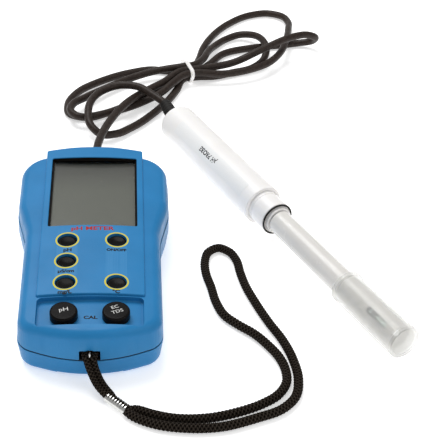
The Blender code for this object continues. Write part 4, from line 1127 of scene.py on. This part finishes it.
def make_print():
    """Generic markings only: units, key names and the calibration mark."""
    for name, (x, y) in KEYS.items():
        ring = ring_film(f"{name}_ring", x, y, RING_RADIUS, RING_WIDTH)
        printed(f"{name}_ring", ring, on_crown(), LOOK_YELLOW_INK, "case")
    marks = [
        ("mark_ph", "pH", 3.2, (-12.0, -15.0)), ("mark_conductivity", "µS/cm", 3.0, (-12.3, -31.0)),
        ("mark_solids", "mg/L", 3.1, (-12.4, -46.3)), ("mark_power", "ON/OFF", 2.5, (12.2, -15.0)),
        ("mark_temperature", "°C", 3.1, (12.2, -46.2))]
    for name, text, size, centre in marks:
        art = lettering(name, text, size, centre, wide=1.08, weight=0.13)
        printed(name, art, on_crown(), LOOK_DARK_INK, "case")
    title = lettering("mark_title", "pH METER", 4.0, (0.0, 1.9), wide=1.2, weight=0.12)
    printed("mark_title", title, on_crown(), LOOK_RED_INK, "case")
    cal = lettering("mark_cal", "CAL", 2.9, (0.2, -60.3), wide=1.2, weight=0.12)
    printed("mark_cal", cal, on_crown(POCKET_DEPTH), LOOK_DARK_INK, "case")


# ---- display ------------------------------------------------------------------------------------
def make_window_wall_shade_and_border():
    """Black on the window's wall as painted shade in the recess, and black print round the edge of the lens.
    """
    wall = 0.12
    outer = rectangle(WINDOW_HALF_WIDTH - 0.01, WINDOW_BOTTOM + 0.01, WINDOW_TOP - 0.01, 1.0)
    # Painted shade: a thin black lining on the window's wall darkens the recess.
    mask = crowned_form("window_wall_shade", outer, [(CASE_HEIGHT - 2.5, 0.0), (CASE_HEIGHT - 0.5, 0.0)])
    inner = crowned_form("mask_inside", outer, [(CASE_HEIGHT - 4.0, wall), (CASE_HEIGHT + 1.0, wall)])
    carve(mask, [inner])
    finish_piece(mask, LOOK_BLACK, "case")
    top = -(WINDOW_WALL + GAP) + 0.02
    outside, inside, film = WINDOW_HALF_WIDTH + 0.5, WINDOW_HALF_WIDTH - 1.1, 0.04
    low, high = (-outside, WINDOW_BOTTOM - 1, top), (outside, WINDOW_TOP + 1, top + film)
    border = box("lens_border", low, high, tilt=True)
    low, high = (-inside, WINDOW_BOTTOM - 0.2, top - 1), (inside, WINDOW_TOP - 0.4, top + 1)
    carve(border, [box("border_inside", low, high, tilt=True)])
    finish_piece(border, LOOK_BLACK, "case")


# ---- keys and knobs -----------------------------------------------------------------------------
def make_keys():
    """Dished keys with a rounded rim; the flange that stops them is below the panel."""
    shoulder = -(PANEL_WALL + (KEY_COLUMN + KEY_FLANGE_RADIUS) ** 2 / (2 * CROWN_RADIUS) + GAP)
    for name, (x, y) in KEYS.items():
        rim = -KEY_RECESS - x * x / (2 * CROWN_RADIUS)
        dish = []
        dish_steps, dish_radius, dish_depth = 8, 3.5, 0.35
        for k in range(dish_steps + 1):
            share = k / dish_steps
            dish.append((dish_radius * share, rim - dish_depth * (1 - share * share)))
        profile = dish + rounded(KEY_RADIUS, rim, 0.55, 6)
        profile += [
            (KEY_RADIUS, shoulder), (KEY_FLANGE_RADIUS, shoulder),
            (KEY_FLANGE_RADIUS, shoulder - KEY_FLANGE), (0, shoulder - KEY_FLANGE)]
        key = turned(f"{name}_cap", profile, face_frame(x, y), 72)
        finish_piece(key, LOOK_BLACK, f"{name}_body", [name])


def make_knobs():
    """Dials with a rounded rim and a bore for the trimmer's shaft, marked on top."""
    base = -(POCKET_DEPTH + KNOB_X**2 / (2 * CROWN_RADIUS)) + 0.25
    top = base + KNOB_HEIGHT
    roof = top - 1.5
    bore = SHAFT_RADIUS + 0.05
    dials = ((-1, "ph", "pH", 10.0, 3.5), (1, "ec", "EC\nTDS", 22.0, 2.9))
    for side, name, text, turn, size in dials:
        place = face_frame(side * KNOB_X, KNOB_Y)
        profile = [(0, top)] + arc((KNOB_RADIUS - 1.15, top - 1.1), 1.1, 90, 4, 8)
        profile += [(KNOB_RADIUS, base + 0.3), (KNOB_RADIUS - 0.3, base)]
        profile += [(bore, base), (bore, roof), (0, roof)]
        knob = turned(f"{name}_dial", profile, place, 96)
        body = f"{name}_adjuster"
        finish_piece(knob, LOOK_BLACK, body, [f"{name}_knob"])
        art = lettering(f"{name}_dial_mark", text, size, (0, 0.6), turn, wide=1.1, weight=0.0)
        printed(f"{name}_dial_mark", art, on_frame(place, top), LOOK_WHITE_INK, body)


# ---- socket, plug and cable ---------------------------------------------------------------------
def socket_frame():
    """Local Z points out of the display end along the socket's axis."""
    return Matrix.Translation((0, 0, SOCKET_HEIGHT * MM)) @ Matrix.Rotation(math.radians(-90), 4, "X")


def make_socket():
    """The flanged metal socket that stands out of the display end."""
    wall_end = DISPLAY_END - 2.0
    rim, flange, foot = wall_end + 1.9, wall_end + 0.05, wall_end - 10
    bore, bore_floor = 4.9, wall_end - 7.5
    profile = [(0, bore_floor), (bore, bore_floor), (bore, rim - 0.3), (bore + 0.3, rim)]
    profile += arc((7.1, rim - 0.5), 0.5, 90, 0, 4) + [(7.6, flange), (SOCKET_THREAD, flange)]
    profile += [(SOCKET_THREAD, foot), (0, foot)]
    socket = turned("lead_socket", profile, socket_frame())
    finish_piece(socket, LOOK_STEEL, "case", ["probe_socket"])


def make_plug():
    """The plug's shell with grip grooves, and its stepped tail."""
    nose, nose_end, radius = 4.5, 65.2, 7.5
    profile = [(0, PLUG_BACK), (6.4, PLUG_BACK)] + arc((6.4, PLUG_BACK - 1.1), 1.1, 80, 0, 5)
    groove_count, groove_step, groove_width = 5, 1.9, 0.9
    for k in range(groove_count - 1, -1, -1):
        y = PLUG_FRONT + 2.2 + groove_step * k
        profile += [(radius, y + groove_width), (radius - 0.35, y + groove_width * 0.7),
                    (radius - 0.35, y + groove_width * 0.3), (radius, y)]
    profile += [(radius, PLUG_FRONT + 0.4), (radius - 0.4, PLUG_FRONT), (nose, PLUG_FRONT)]
    profile += [(nose, nose_end + 0.4), (nose - 0.4, nose_end), (0, nose_end)]
    plug = turned("lead_plug", profile, socket_frame())
    finish_piece(plug, LOOK_STEEL, "probe_lead", ["plug_shell"])
    bore, bore_floor, start = CABLE_RADIUS + 0.05, PLUG_TAIL_END - 4.0, PLUG_BACK + 0.02
    tail = [(0, bore_floor), (bore, bore_floor), (bore, PLUG_TAIL_END)]
    tail += arc((3.2, PLUG_TAIL_END - 0.4), 0.4, 90, 0, 4)
    tail += [(4.6, start + 2)] + arc((5.7, start + 0.6), 0.3, 90, 0, 3) + [(6.0, start), (0, start)]
    tail_piece = turned("lead_plug_tail", tail, socket_frame())
    finish_piece(tail_piece, LOOK_STEEL, "probe_lead", ["plug_tail"])


def tie_pass(slot, direction):
    """The two waypoints of a strand that passes through the tie."""
    offset, height = TIE_SLOTS[slot]
    heading = Vector((math.cos(math.radians(TIE_HEADING)), math.sin(math.radians(TIE_HEADING))))
    across = Vector((-heading.y, heading.x))
    middle = Vector(TIE_CENTRE) + across * offset
    reach = 3.5 * direction
    return [(*(middle - heading * reach), height), (*(middle + heading * reach), height)]


def boot_direction():
    """Unit vector from the handle's end along the boot, turned a little from the probe's axis."""
    back = (PROBE_START - PROBE_TIP).normalized()
    return Matrix.Rotation(math.radians(-BOOT_TURN), 3, "Z") @ back


def make_cable():
    """One cable from the plug, six times through the tie and into the probe's boot."""
    route = []
    for waypoints, slot, direction in CABLE_LEGS:
        route += waypoints + tie_pass(slot, direction)
    away = boot_direction()
    route += TO_PROBE + [tuple(PROBE_START + away * reach) for reach in (BOOT_LENGTH, 12.0, 2.0)]
    path = even_path(smooth_path(route, 12), 1.2)
    cable = swept("lead_cable", path, lambda distance, angle: CABLE_RADIUS, 28)
    finish_piece(cable, LOOK_CABLE, "probe_lead", ["probe_cable"])


def make_tie():
    """A toothed nylon band that hugs the six strands, with its locking head and a short tail."""
    heading = Matrix.Rotation(math.radians(TIE_HEADING), 3, "Z")
    slots = [TIE_SLOTS[name] for name in ("lower near", "lower far", "upper far", "upper near")]
    corners = [Vector((0, offset, height)) for offset, height in slots]
    half, inner, thickness = 1.25, CABLE_RADIUS + 0.02, 0.95
    arc_steps = 12

    def band_section(x, radius):
        """The hull round the corner strands: an arc at each corner, straight between them."""
        section = []
        for i, corner in enumerate(corners):
            before = corner - corners[i - 1]
            after = corners[(i + 1) % len(corners)] - corner
            first, second = Vector((0, before.z, -before.y)), Vector((0, after.z, -after.y))
            for k in range(arc_steps + 1):
                outward = first.normalized().slerp(second.normalized(), k / arc_steps)
                place = corner + outward * radius + Vector((x, 0, 0))
                section.append(heading @ place + Vector((*TIE_CENTRE, 0)))
        return section

    outer, edge = inner + thickness, 0.3
    cut = [
        (-half, inner), (half, inner), (half, outer - edge),
        (half - edge, outer), (-half + edge, outer), (-half, outer - edge)]
    rings = [band_section(x, radius) for x, radius in cut]
    band = add_object("tie_band", mesh_from("tie_band", lambda bm: loft(bm, rings, closed=True)))
    reach = corners[2].y + outer
    head = box("tie_head", (-2.3, reach - 0.4, corners[2].z - 3.4), (2.3, reach + 3.0, corners[2].z + 1.0))
    tail = box("tie_tail", (-1.2, reach + 0.6, corners[2].z - 0.9), (1.2, reach + 6.5, corners[2].z + 0.1))
    for item, width in ((head, 0.5), (tail, 0.25)):
        soften(item, width)
        item.data.transform(Matrix.Translation((*Vector(TIE_CENTRE) * MM, 0)) @ heading.to_4x4())
    carve(band, unions=[head, tail])
    finish_piece(band, LOOK_WHITE, "probe_lead", ["cable_tie"])


# ---- probe --------------------------------------------------------------------------------------
def probe_frame():
    """Local Z runs from the handle's cable end to the probe's tip, local Y is up."""
    axis = (PROBE_TIP - PROBE_START).normalized()
    side = Vector((0, 0, 1)).cross(axis).normalized()
    turn = Matrix((side, axis.cross(side), axis)).transposed()
    return Matrix.Translation(PROBE_START * MM) @ turn.to_4x4()


def make_boot():
    """A tapered rubber boot with shallow flex grooves and a rounded lip where the cable enters."""
    away = boot_direction()
    place = frame_along(PROBE_START, away)
    start, wide, narrow, bore = 0.5, 4.7, 3.5, CABLE_RADIUS + 0.03
    profile = [(bore, BOOT_LENGTH), (narrow - 0.4, BOOT_LENGTH)]
    profile += rounded(narrow, BOOT_LENGTH, 0.4, 4)[1:]
    groove_count = 5
    for k in range(groove_count):
        middle = BOOT_LENGTH - 3.2 - 3.0 * k
        radius = narrow + (wide - narrow) * (BOOT_LENGTH - middle) / BOOT_LENGTH
        profile += [
            (radius - 0.03, middle + 0.5), (radius - 0.2, middle + 0.2),
            (radius - 0.2, middle - 0.2), (radius + 0.03, middle - 0.5)]
    profile += [(wide, start), (bore, start)]
    boot = turned("flex_boot", profile, place, 64)
    finish_piece(boot, LOOK_RUBBER, "probe_lead", ["cable_boot"])


def make_handle():
    """A tube with a rounded cable end and a raised ring round the small hole for the boot."""
    corner = 3.5
    profile = [(HANDLE_RADIUS - 0.5, HANDLE_END)]
    profile += rounded(HANDLE_RADIUS, HANDLE_END, 0.5, 4, 80)
    profile += [(HANDLE_RADIUS, 60.0), (HANDLE_RADIUS, 30.0)]
    profile += arc((HANDLE_RADIUS - corner, corner), corner, 0, -90, 12)
    hole, depth = 5.2, 2.4
    profile += [(6.6, 0.0), (6.4, 0.35), (5.5, 0.35), (hole, 0.5), (hole, depth)]
    profile += [(HANDLE_BORE, 5.0), (HANDLE_BORE, HANDLE_END)]
    handle = turned("grip_tube", profile, probe_frame(), 128)
    finish_piece(handle, LOOK_WHITE, "probe_lead", ["probe_handle"])


def label_place(radius):
    """Wraps flat artwork (towards the cable, round the probe) on a cylinder about the probe's axis."""
    matrix = probe_frame()

    def place(point):
        reach = radius + point.z
        angle = point.y / radius
        local = Vector((-math.sin(angle) * reach, math.cos(angle) * reach, -point.x)) * MM
        return matrix @ local / MM
    return place


def make_label():
    """A printed film wrapped part of the way round the handle, with rounded corners."""
    start, end = LABEL_SPAN
    low, high = (math.radians(a) * HANDLE_RADIUS for a in LABEL_ANGLES)
    half = (high - low) / 2
    outline = rounded_outline([(half, end, 1.0), (half, start, 1.0)])
    thickness = 0.12
    columns = 12

    def build(bm):
        loft(bm, [[(-p.y, p.x + low + half, lift) for p in outline] for lift in (0.0, thickness)])
        for k in range(1, columns):
            geometry = bm.verts[:] + bm.edges[:] + bm.faces[:]
            y = low + (high - low) * k / columns
            bmesh.ops.bisect_plane(bm, geom=geometry, dist=0.0001, plane_co=(0, y, 0), plane_no=(0, 1, 0))

    mesh = mesh_from("grip_label", build)
    mesh.transform(Matrix.Scale(1 / MM, 4))
    radius = HANDLE_RADIUS + 0.01
    place = label_place(radius)
    for vert in mesh.vertices:
        vert.co = place(Vector(vert.co)) * MM
    finish_piece(add_object("grip_label", mesh), LOOK_LABEL, "probe_lead", ["handle_label"])
    middle = math.radians(sum(LABEL_ANGLES) / 2) * HANDLE_RADIUS
    art = lettering("grip_label_mark", "pH PROBE", 3.9, (-53.0, middle), wide=1.0, weight=0.14)
    place = label_place(radius + thickness)
    printed("grip_label_mark", art, place, LOOK_DARK_INK, "probe_lead")


def make_collar():
    """The turned collar: a step, a shallow groove and the nose that carries the O-ring."""
    nose, nose_end, stem_bore = 7.6, 117.4, STEM_RADIUS + 0.1
    spigot, spigot_start = HANDLE_BORE - 0.1, 92.0
    start = HANDLE_END + 0.05
    profile = [(nose, nose_end), (nose, COLLAR_END)]
    profile += rounded(COLLAR_RADIUS, COLLAR_END, 0.5, 5)
    profile += [(COLLAR_RADIUS, 104.6), (COLLAR_RADIUS - 0.25, 104.3), (COLLAR_RADIUS - 0.25, 103.5)]
    profile += [(COLLAR_RADIUS, 103.2), (COLLAR_RADIUS, start), (spigot, start), (spigot, spigot_start)]
    profile += [(stem_bore, spigot_start), (stem_bore, nose_end)]
    collar = turned("turned_collar", profile, probe_frame(), 128)
    finish_piece(collar, LOOK_WHITE, "probe_lead", ["probe_collar"])
    ring_radius = 0.5
    ring = arc((nose + ring_radius + 0.75, COLLAR_END + ring_radius), ring_radius, 0, -360, 16)[:-1]
    seal = turned("seal_ring", ring, probe_frame(), 96)
    finish_piece(seal, LOOK_RUBBER, "probe_lead", ["o_ring"])


def make_sensors():
    """The stem with the glass bulb and four small pieces standing on its end."""
    place = probe_frame()
    stem_end, stem_start = 204.0, 88.0
    profile = [(0, stem_end), (STEM_RADIUS - 0.7, stem_end)]
    profile += rounded(STEM_RADIUS, stem_end, 0.7, 5)[1:]
    profile += [(STEM_RADIUS, 150.0), (STEM_RADIUS, stem_start), (0, stem_start)]
    stem = turned("sensor_stem", profile, place, 64)
    finish_piece(stem, LOOK_STEM, "probe_lead", ["probe_stem"])
    foot = stem_end + 0.02
    bulb_radius, bulb_centre = 2.4, 217.0
    bulb = [(0, bulb_centre + bulb_radius)] + arc((0, bulb_centre), bulb_radius, 90, 0, 10)[1:]
    bulb += [(2.1, bulb_centre - 3.0), (2.1, foot), (0, foot)]
    glass = turned("sensor_bulb", bulb, place, 48)
    finish_piece(glass, LOOK_GLASS, "probe_lead", ["glass_bulb"])
    small_pieces = [
        ("conductivity_pin_1", 3.9, 0, 0.7, 214.0, LOOK_STEEL, "steel"),
        ("conductivity_pin_2", -3.9, 0, 0.7, 214.0, LOOK_STEEL, "steel"),
        ("temperature_sensor", 0, 3.9, 0.9, 216.0, LOOK_STEEL, "steel"),
        ("reference_junction", 0, -3.7, 0.8, 208.0, LOOK_WHITE, "white_plastic")]
    for name, x, y, radius, tip, look, slot in small_pieces:
        profile = [(0, tip)] + rounded(radius, tip, 0.35, 4) + [(radius, foot), (0, foot)]
        piece = turned(f"{name}_fine", profile, place @ at_point(x, y), 24)
        finish_piece(piece, look, "probe_lead", [name])


def make_sleeve():
    """A tube with rounded ends and four slots near its tip."""
    place = probe_frame()
    lip = (SLEEVE_RADIUS - SLEEVE_BORE) / 2
    middle = SLEEVE_BORE + lip
    profile = arc((middle, SLEEVE_END - lip), lip, 180, 0, 6)
    profile += arc((middle, SLEEVE_START + lip), lip, 0, -180, 6)
    sleeve = turned("guard_sleeve", profile, place, 128)
    half = SLOT_WIDTH / 2
    outline = rectangle(half, SLOT_START, SLOT_END, half - 0.02)
    slots = []
    for k in range(2):
        rings = [[(x, p.x, p.y) for p in outline] for x in (-9, 9)]
        slot = add_object(f"sleeve_slot_{k}", mesh_from(f"sleeve_slot_{k}", lambda bm: loft(bm, rings)))
        slot.data.transform(place @ Matrix.Rotation(math.radians(SLOT_ANGLE + 90 * k), 4, "Z"))
        slots.append(slot)
    carve(sleeve, slots)
    finish_piece(sleeve, LOOK_SLEEVE, "sleeve", ["probe_sleeve"])


def make_cap():
    """A cup with a rounded mouth ring, a bevel inside the mouth and a thicker end rim."""
    bore = SLEEVE_RADIUS + 0.4
    barrel, mouth, end_rim = 8.1, 9.1, 8.8
    floor = CAP_END - 1.4
    profile = [(0, CAP_END - 0.5), (end_rim - 2.0, CAP_END - 0.5), (end_rim - 1.6, CAP_END)]
    profile += rounded(end_rim, CAP_END, 0.5, 5)
    profile += [(end_rim, CAP_END - 2.2), (end_rim - 0.35, CAP_END - 2.7), (barrel + 0.1, CAP_START + 4.5)]
    profile += [(barrel, CAP_START + 3.2)]
    corner = 0.6
    profile += arc((mouth - corner, CAP_START + 2.2), corner, 80, 0, 5)
    profile += arc((mouth - corner, CAP_START + corner), corner, 0, -90, 5)
    profile += [(bore + 0.2, CAP_START), (bore, CAP_START + 0.3)]
    profile += [(bore, floor - corner), (bore - corner, floor), (0, floor)]
    cap = turned("soaking_cap", profile, probe_frame(), 128)
    finish_piece(cap, LOOK_CAP, "cap", ["storage_cap"])


# ---- strap --------------------------------------------------------------------------------------
def braid_crest(carriers, pitch):
    """Height of a round braid from 0 to 1: carriers strands each way, over and under one another.

    pitch is the length of one full turn of a strand.
    """
    lift = 0.35

    def crest_at(distance, angle):
        turn = distance / pitch
        left = carriers * (angle / (2 * math.pi) - turn)
        right = carriers * (angle / (2 * math.pi) + turn)
        weave = lift * math.cos(math.pi * (right - left))
        over = math.cos(math.pi * left) ** 2 + weave
        under = math.cos(math.pi * right) ** 2 - weave
        return max(over, under) / (1 + lift)
    return crest_at


def braided(name, path, radius, crest_at, depth, narrow, reach, sides):
    """A braided cord along a path, squeezed to a share of its size near both ends."""
    length = path_length(path)
    crests = []

    def radius_at(distance, angle):
        near = min(1.0, max(0.0, min(distance, length - distance) / reach))
        eased = near * near * (3 - 2 * near)
        crest = crest_at(distance, angle)
        crests.append(crest)
        return (radius - depth * (1 - crest)) * (narrow + (1 - narrow) * eased)

    cord = swept(name, path, radius_at, sides)
    # The crest heights are kept for the painted shade in the braid's valleys.
    layer = cord.data.attributes.new("crest", "FLOAT", "POINT")
    layer.data.foreach_set("value", crests)
    return cord


def path_length(points):
    return sum((b - a).length for a, b in zip(points, points[1:]))


def make_strap_cord():
    """The wrist loop: one braided cord whose two ends are tucked into the crimp."""
    ends_z = CRIMP_END.z
    along = (CRIMP_END - CRIMP_START).normalized()
    side = Vector((-along.y, along.x, 0)).normalized()
    tuck = CRIMP_END - along * 6.0
    loop = [Vector((px, py, STRAP_RADIUS + 0.2)) for px, py in STRAP_LOOP]
    first = [tuck - side * 0.8, CRIMP_END - side * 1.0]
    last = [CRIMP_END + side * 1.0, tuck + side * 0.8]
    for point in first + last:
        point.z = ends_z
    path = even_path(smooth_path(first + loop + last, 10), BRAID_STEP)
    crest_at = braid_crest(carriers=5, pitch=9.5)
    cord = braided("wrist_cord", path, STRAP_RADIUS + 0.1, crest_at, 0.62, 0.50, 10.5, 40)
    finish_piece(cord, LOOK_BRAID, "strap", ["strap_cord"], angle=80)


def anchor_path():
    """Both runs of the doubled cord: up one side from the crimp, round the pin and down the other."""
    x, y = STRAP_PIN
    bend = PIN_RADIUS + 0.15 + ANCHOR_RADIUS
    along = (CRIMP_END - CRIMP_START).normalized()
    middle = [Vector((x, y - 3.8, STRAP_HEIGHT - 0.3)), *ANCHOR_MIDDLE, CRIMP_START + along * 5.0]
    spreads = [ANCHOR_RADIUS, ANCHOR_RADIUS - 0.1, ANCHOR_RADIUS - 0.15, ANCHOR_RADIUS * 0.62]
    left, right = [], []
    for i, (point, spread) in enumerate(zip(middle, spreads)):
        tangent = middle[min(i + 1, len(middle) - 1)] - middle[max(i - 1, 0)]
        side = Vector((-tangent.y, tangent.x, 0)).normalized() if i else Vector((1, 0, 0))
        left.append(point - side * spread)
        right.append(point + side * spread)
    round_pin = []
    turn_steps = 12
    for k in range(turn_steps + 1):
        angle = math.pi - math.pi * k / turn_steps
        round_pin.append(Vector((x + bend * math.cos(angle), y + bend * math.sin(angle), STRAP_HEIGHT)))
    return smooth_path(left[::-1], 10) + round_pin + smooth_path(right, 10)


def make_anchor():
    """The thin doubled cord that ties the crimp to the pin in the case."""
    path = even_path(anchor_path(), BRAID_STEP)
    crest_at = braid_crest(carriers=4, pitch=7.0)
    cord = braided("anchor_cord", path, ANCHOR_RADIUS + 0.05, crest_at, 0.45, 0.62, 6.0, 32)
    finish_piece(cord, LOOK_BRAID, "strap", ["strap_anchor"], angle=80)


def make_crimp():
    """A sheet-metal band folded round the cords, its two edges cut into teeth that bite from above."""
    along = (CRIMP_END - CRIMP_START).normalized()
    length = (CRIMP_END - CRIMP_START).length
    place = frame_along(CRIMP_START, along)
    radius, sheet = CRIMP_RADIUS - 0.25, 0.4
    tooth_count, flank_angle, tip_angle = 8, 108.0, 158.0
    flank_steps, tooth_steps = 20, 4
    pitch = length / tooth_count
    wide, tip_half = radius * 1.12, 0.06

    def at(station, angle):
        turned_angle = math.radians(angle + CRIMP_SEAM_TURN)
        return Vector((wide * math.sin(turned_angle), -radius * math.cos(turned_angle), station))

    def build(bm):
        stations = [pitch * k / 2 for k in range(2 * tooth_count + 1)]
        rows = []
        for station in stations:
            row = []
            for k in range(flank_steps + 1):
                angle = -flank_angle + 2 * flank_angle * k / flank_steps
                row.append(bm.verts.new(at(station, angle)))
            rows.append(row)
        for row, after in zip(rows, rows[1:]):
            for k in range(flank_steps):
                bm.faces.new((row[k], row[k + 1], after[k + 1], after[k]))
        for edge, sign, shift in ((0, -1, 0), (flank_steps, 1, 1)):
            for t in range(tooth_count - shift):
                corner = 2 * t + shift
                base = [rows[corner][edge], rows[corner + 1][edge], rows[corner + 2][edge]]
                middle = stations[corner + 1]
                for k in range(1, tooth_steps + 1):
                    share = k / tooth_steps
                    angle = sign * (flank_angle + (tip_angle - flank_angle) * share)
                    half = pitch / 2 * (1 - share) + tip_half
                    upper = [bm.verts.new(at(middle + offset, angle)) for offset in (-half, 0, half)]
                    for i in range(2):
                        bm.faces.new((base[i], base[i + 1], upper[i + 1], upper[i]))
                    base = upper

    crimp = add_object("toothed_crimp", mesh_from("toothed_crimp", build))
    crimp.data.transform(place)
    thick = crimp.modifiers.new("sheet", "SOLIDIFY")
    thick.thickness = sheet * MM
    thick.offset = -1.0
    keep_result(crimp)
    finish_piece(crimp, LOOK_STEEL, "strap", ["strap_crimp"], angle=40)


def make_pin():
    """The metal pin in the slot that the anchor cord goes round."""
    x, y = STRAP_PIN
    foot, head = seam_height(y) + SEAM_GAP + 0.1, STRAP_HEIGHT + 3.0
    radius = PIN_RADIUS
    profile = [(0, head)] + rounded(radius, head, 0.2, 3) + [(radius, foot), (0, foot)]
    pin = turned("cord_pin", profile, at_point(x, y), 32)
    finish_piece(pin, LOOK_STEEL, "case", ["strap_pin"])


# ---- carried-over CAD nodes ---------------------------------------------------------------------
def dress_inside():
    """Give the lens and the pieces inside the case, which keep their CAD shapes, their materials."""
    looks = {
        LOOK_LENS: ["window_lens"],
        LOOK_DISPLAY: ["lcd_glass"],
        LOOK_BLACK: ["lcd_frame", "controller_chip", "ph_trimmer", "ec_trimmer",
                     *[f"key_switch_{k + 1}" for k in range(len(KEYS))]],
        LOOK_RUBBER: ["elastomer_strip", "battery_snap", "battery_lead_black"],
        LOOK_BOARD: ["circuit_board"],
        LOOK_BATTERY: ["battery_9v"],
        LOOK_BRASS: ["ph_shaft", "ec_shaft", "socket_nut"],
        LOOK_RED: ["battery_lead_red"],
    }
    for look, names in looks.items():
        for name in names:
            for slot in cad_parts[name].material_slots:
                slot.material = look


# ---- stage --------------------------------------------------------------------------------------
def make_stage():
    """A plain pale table that glows a little, which softens the shadows on it."""
    def build(bm):
        bmesh.ops.create_grid(bm, x_segments=1, y_segments=1, size=TABLE_SIZE / 2)

    floor = add_object("table", mesh_from("table", build))
    floor.location.z = -0.02 * MM
    look = Look("table_paper", roughness=0.9)
    tone = look.patches(40.0, 3.0)
    look.set("Base Color", look.blend(tone, (0.93, 0.93, 0.93), (0.95, 0.95, 0.95)))
    look.set("Emission Color", (1.0, 1.0, 1.0, 1.0))
    look.set("Emission Strength", TABLE_GLOW)
    floor.data.materials.append(look.material)


def area_light(name, place, size, power):
    """A round soft light that points at the middle of the set."""
    light = bpy.data.lights.new(name, "AREA")
    light.shape = "DISK"
    light.size = size
    light.energy = power
    made = add_object(name, light)
    made.location = place
    made.rotation_euler = (Vector(LIGHT_TARGET) - Vector(place)).to_track_quat("-Z", "Y").to_euler()


def make_lights():
    """White light from all round and two soft lights from above."""
    world = bpy.data.worlds.new("studio")
    world.use_nodes = True
    background = world.node_tree.nodes["Background"]
    background.inputs["Color"].default_value = (1.0, 1.0, 1.0, 1.0)
    background.inputs["Strength"].default_value = AMBIENT
    bpy.context.scene.world = world
    for name, (place, size, power) in LIGHTS.items():
        area_light(name, place, size, power)


def make_camera():
    """The camera stands at the near end of the case, looking down along it."""
    azimuth, elevation, roll = (math.radians(angle) for angle in CAMERA_ANGLES)
    back = Vector((
        math.sin(azimuth) * math.cos(elevation), -math.cos(azimuth) * math.cos(elevation),
        math.sin(elevation)))
    level = Vector((math.cos(azimuth), math.sin(azimuth), 0))
    upright = back.cross(level)
    right = level * math.cos(roll) + upright * math.sin(roll)
    up = upright * math.cos(roll) - level * math.sin(roll)
    turn = Matrix((right, up, back)).transposed().to_4x4()
    camera = add_object("camera", bpy.data.cameras.new("camera"))
    camera.data.lens = CAMERA_LENS
    camera.data.sensor_width = CAMERA_SENSOR
    camera.data.clip_start = 0.02
    camera.matrix_world = Matrix.Translation(CAMERA_PLACE * MM) @ turn
    bpy.context.scene.camera = camera


def set_view():
    """Plain colour management, so that the colours come out as given."""
    scene = bpy.context.scene
    scene.view_settings.view_transform = "Standard"
    scene.view_settings.look = "None"
    scene.view_settings.exposure = 0.0


make_front_case()
make_rear_case()
make_gasket()
make_battery_door()
make_screws()
make_print()
make_window_wall_shade_and_border()
make_keys()
make_knobs()
make_socket()
make_plug()
make_cable()
make_tie()
make_boot()
make_handle()
make_label()
make_collar()
make_sensors()
make_sleeve()
make_cap()
make_strap_cord()
make_anchor()
make_crimp()
make_pin()
dress_inside()
make_stage()
make_lights()
make_camera()
set_view()
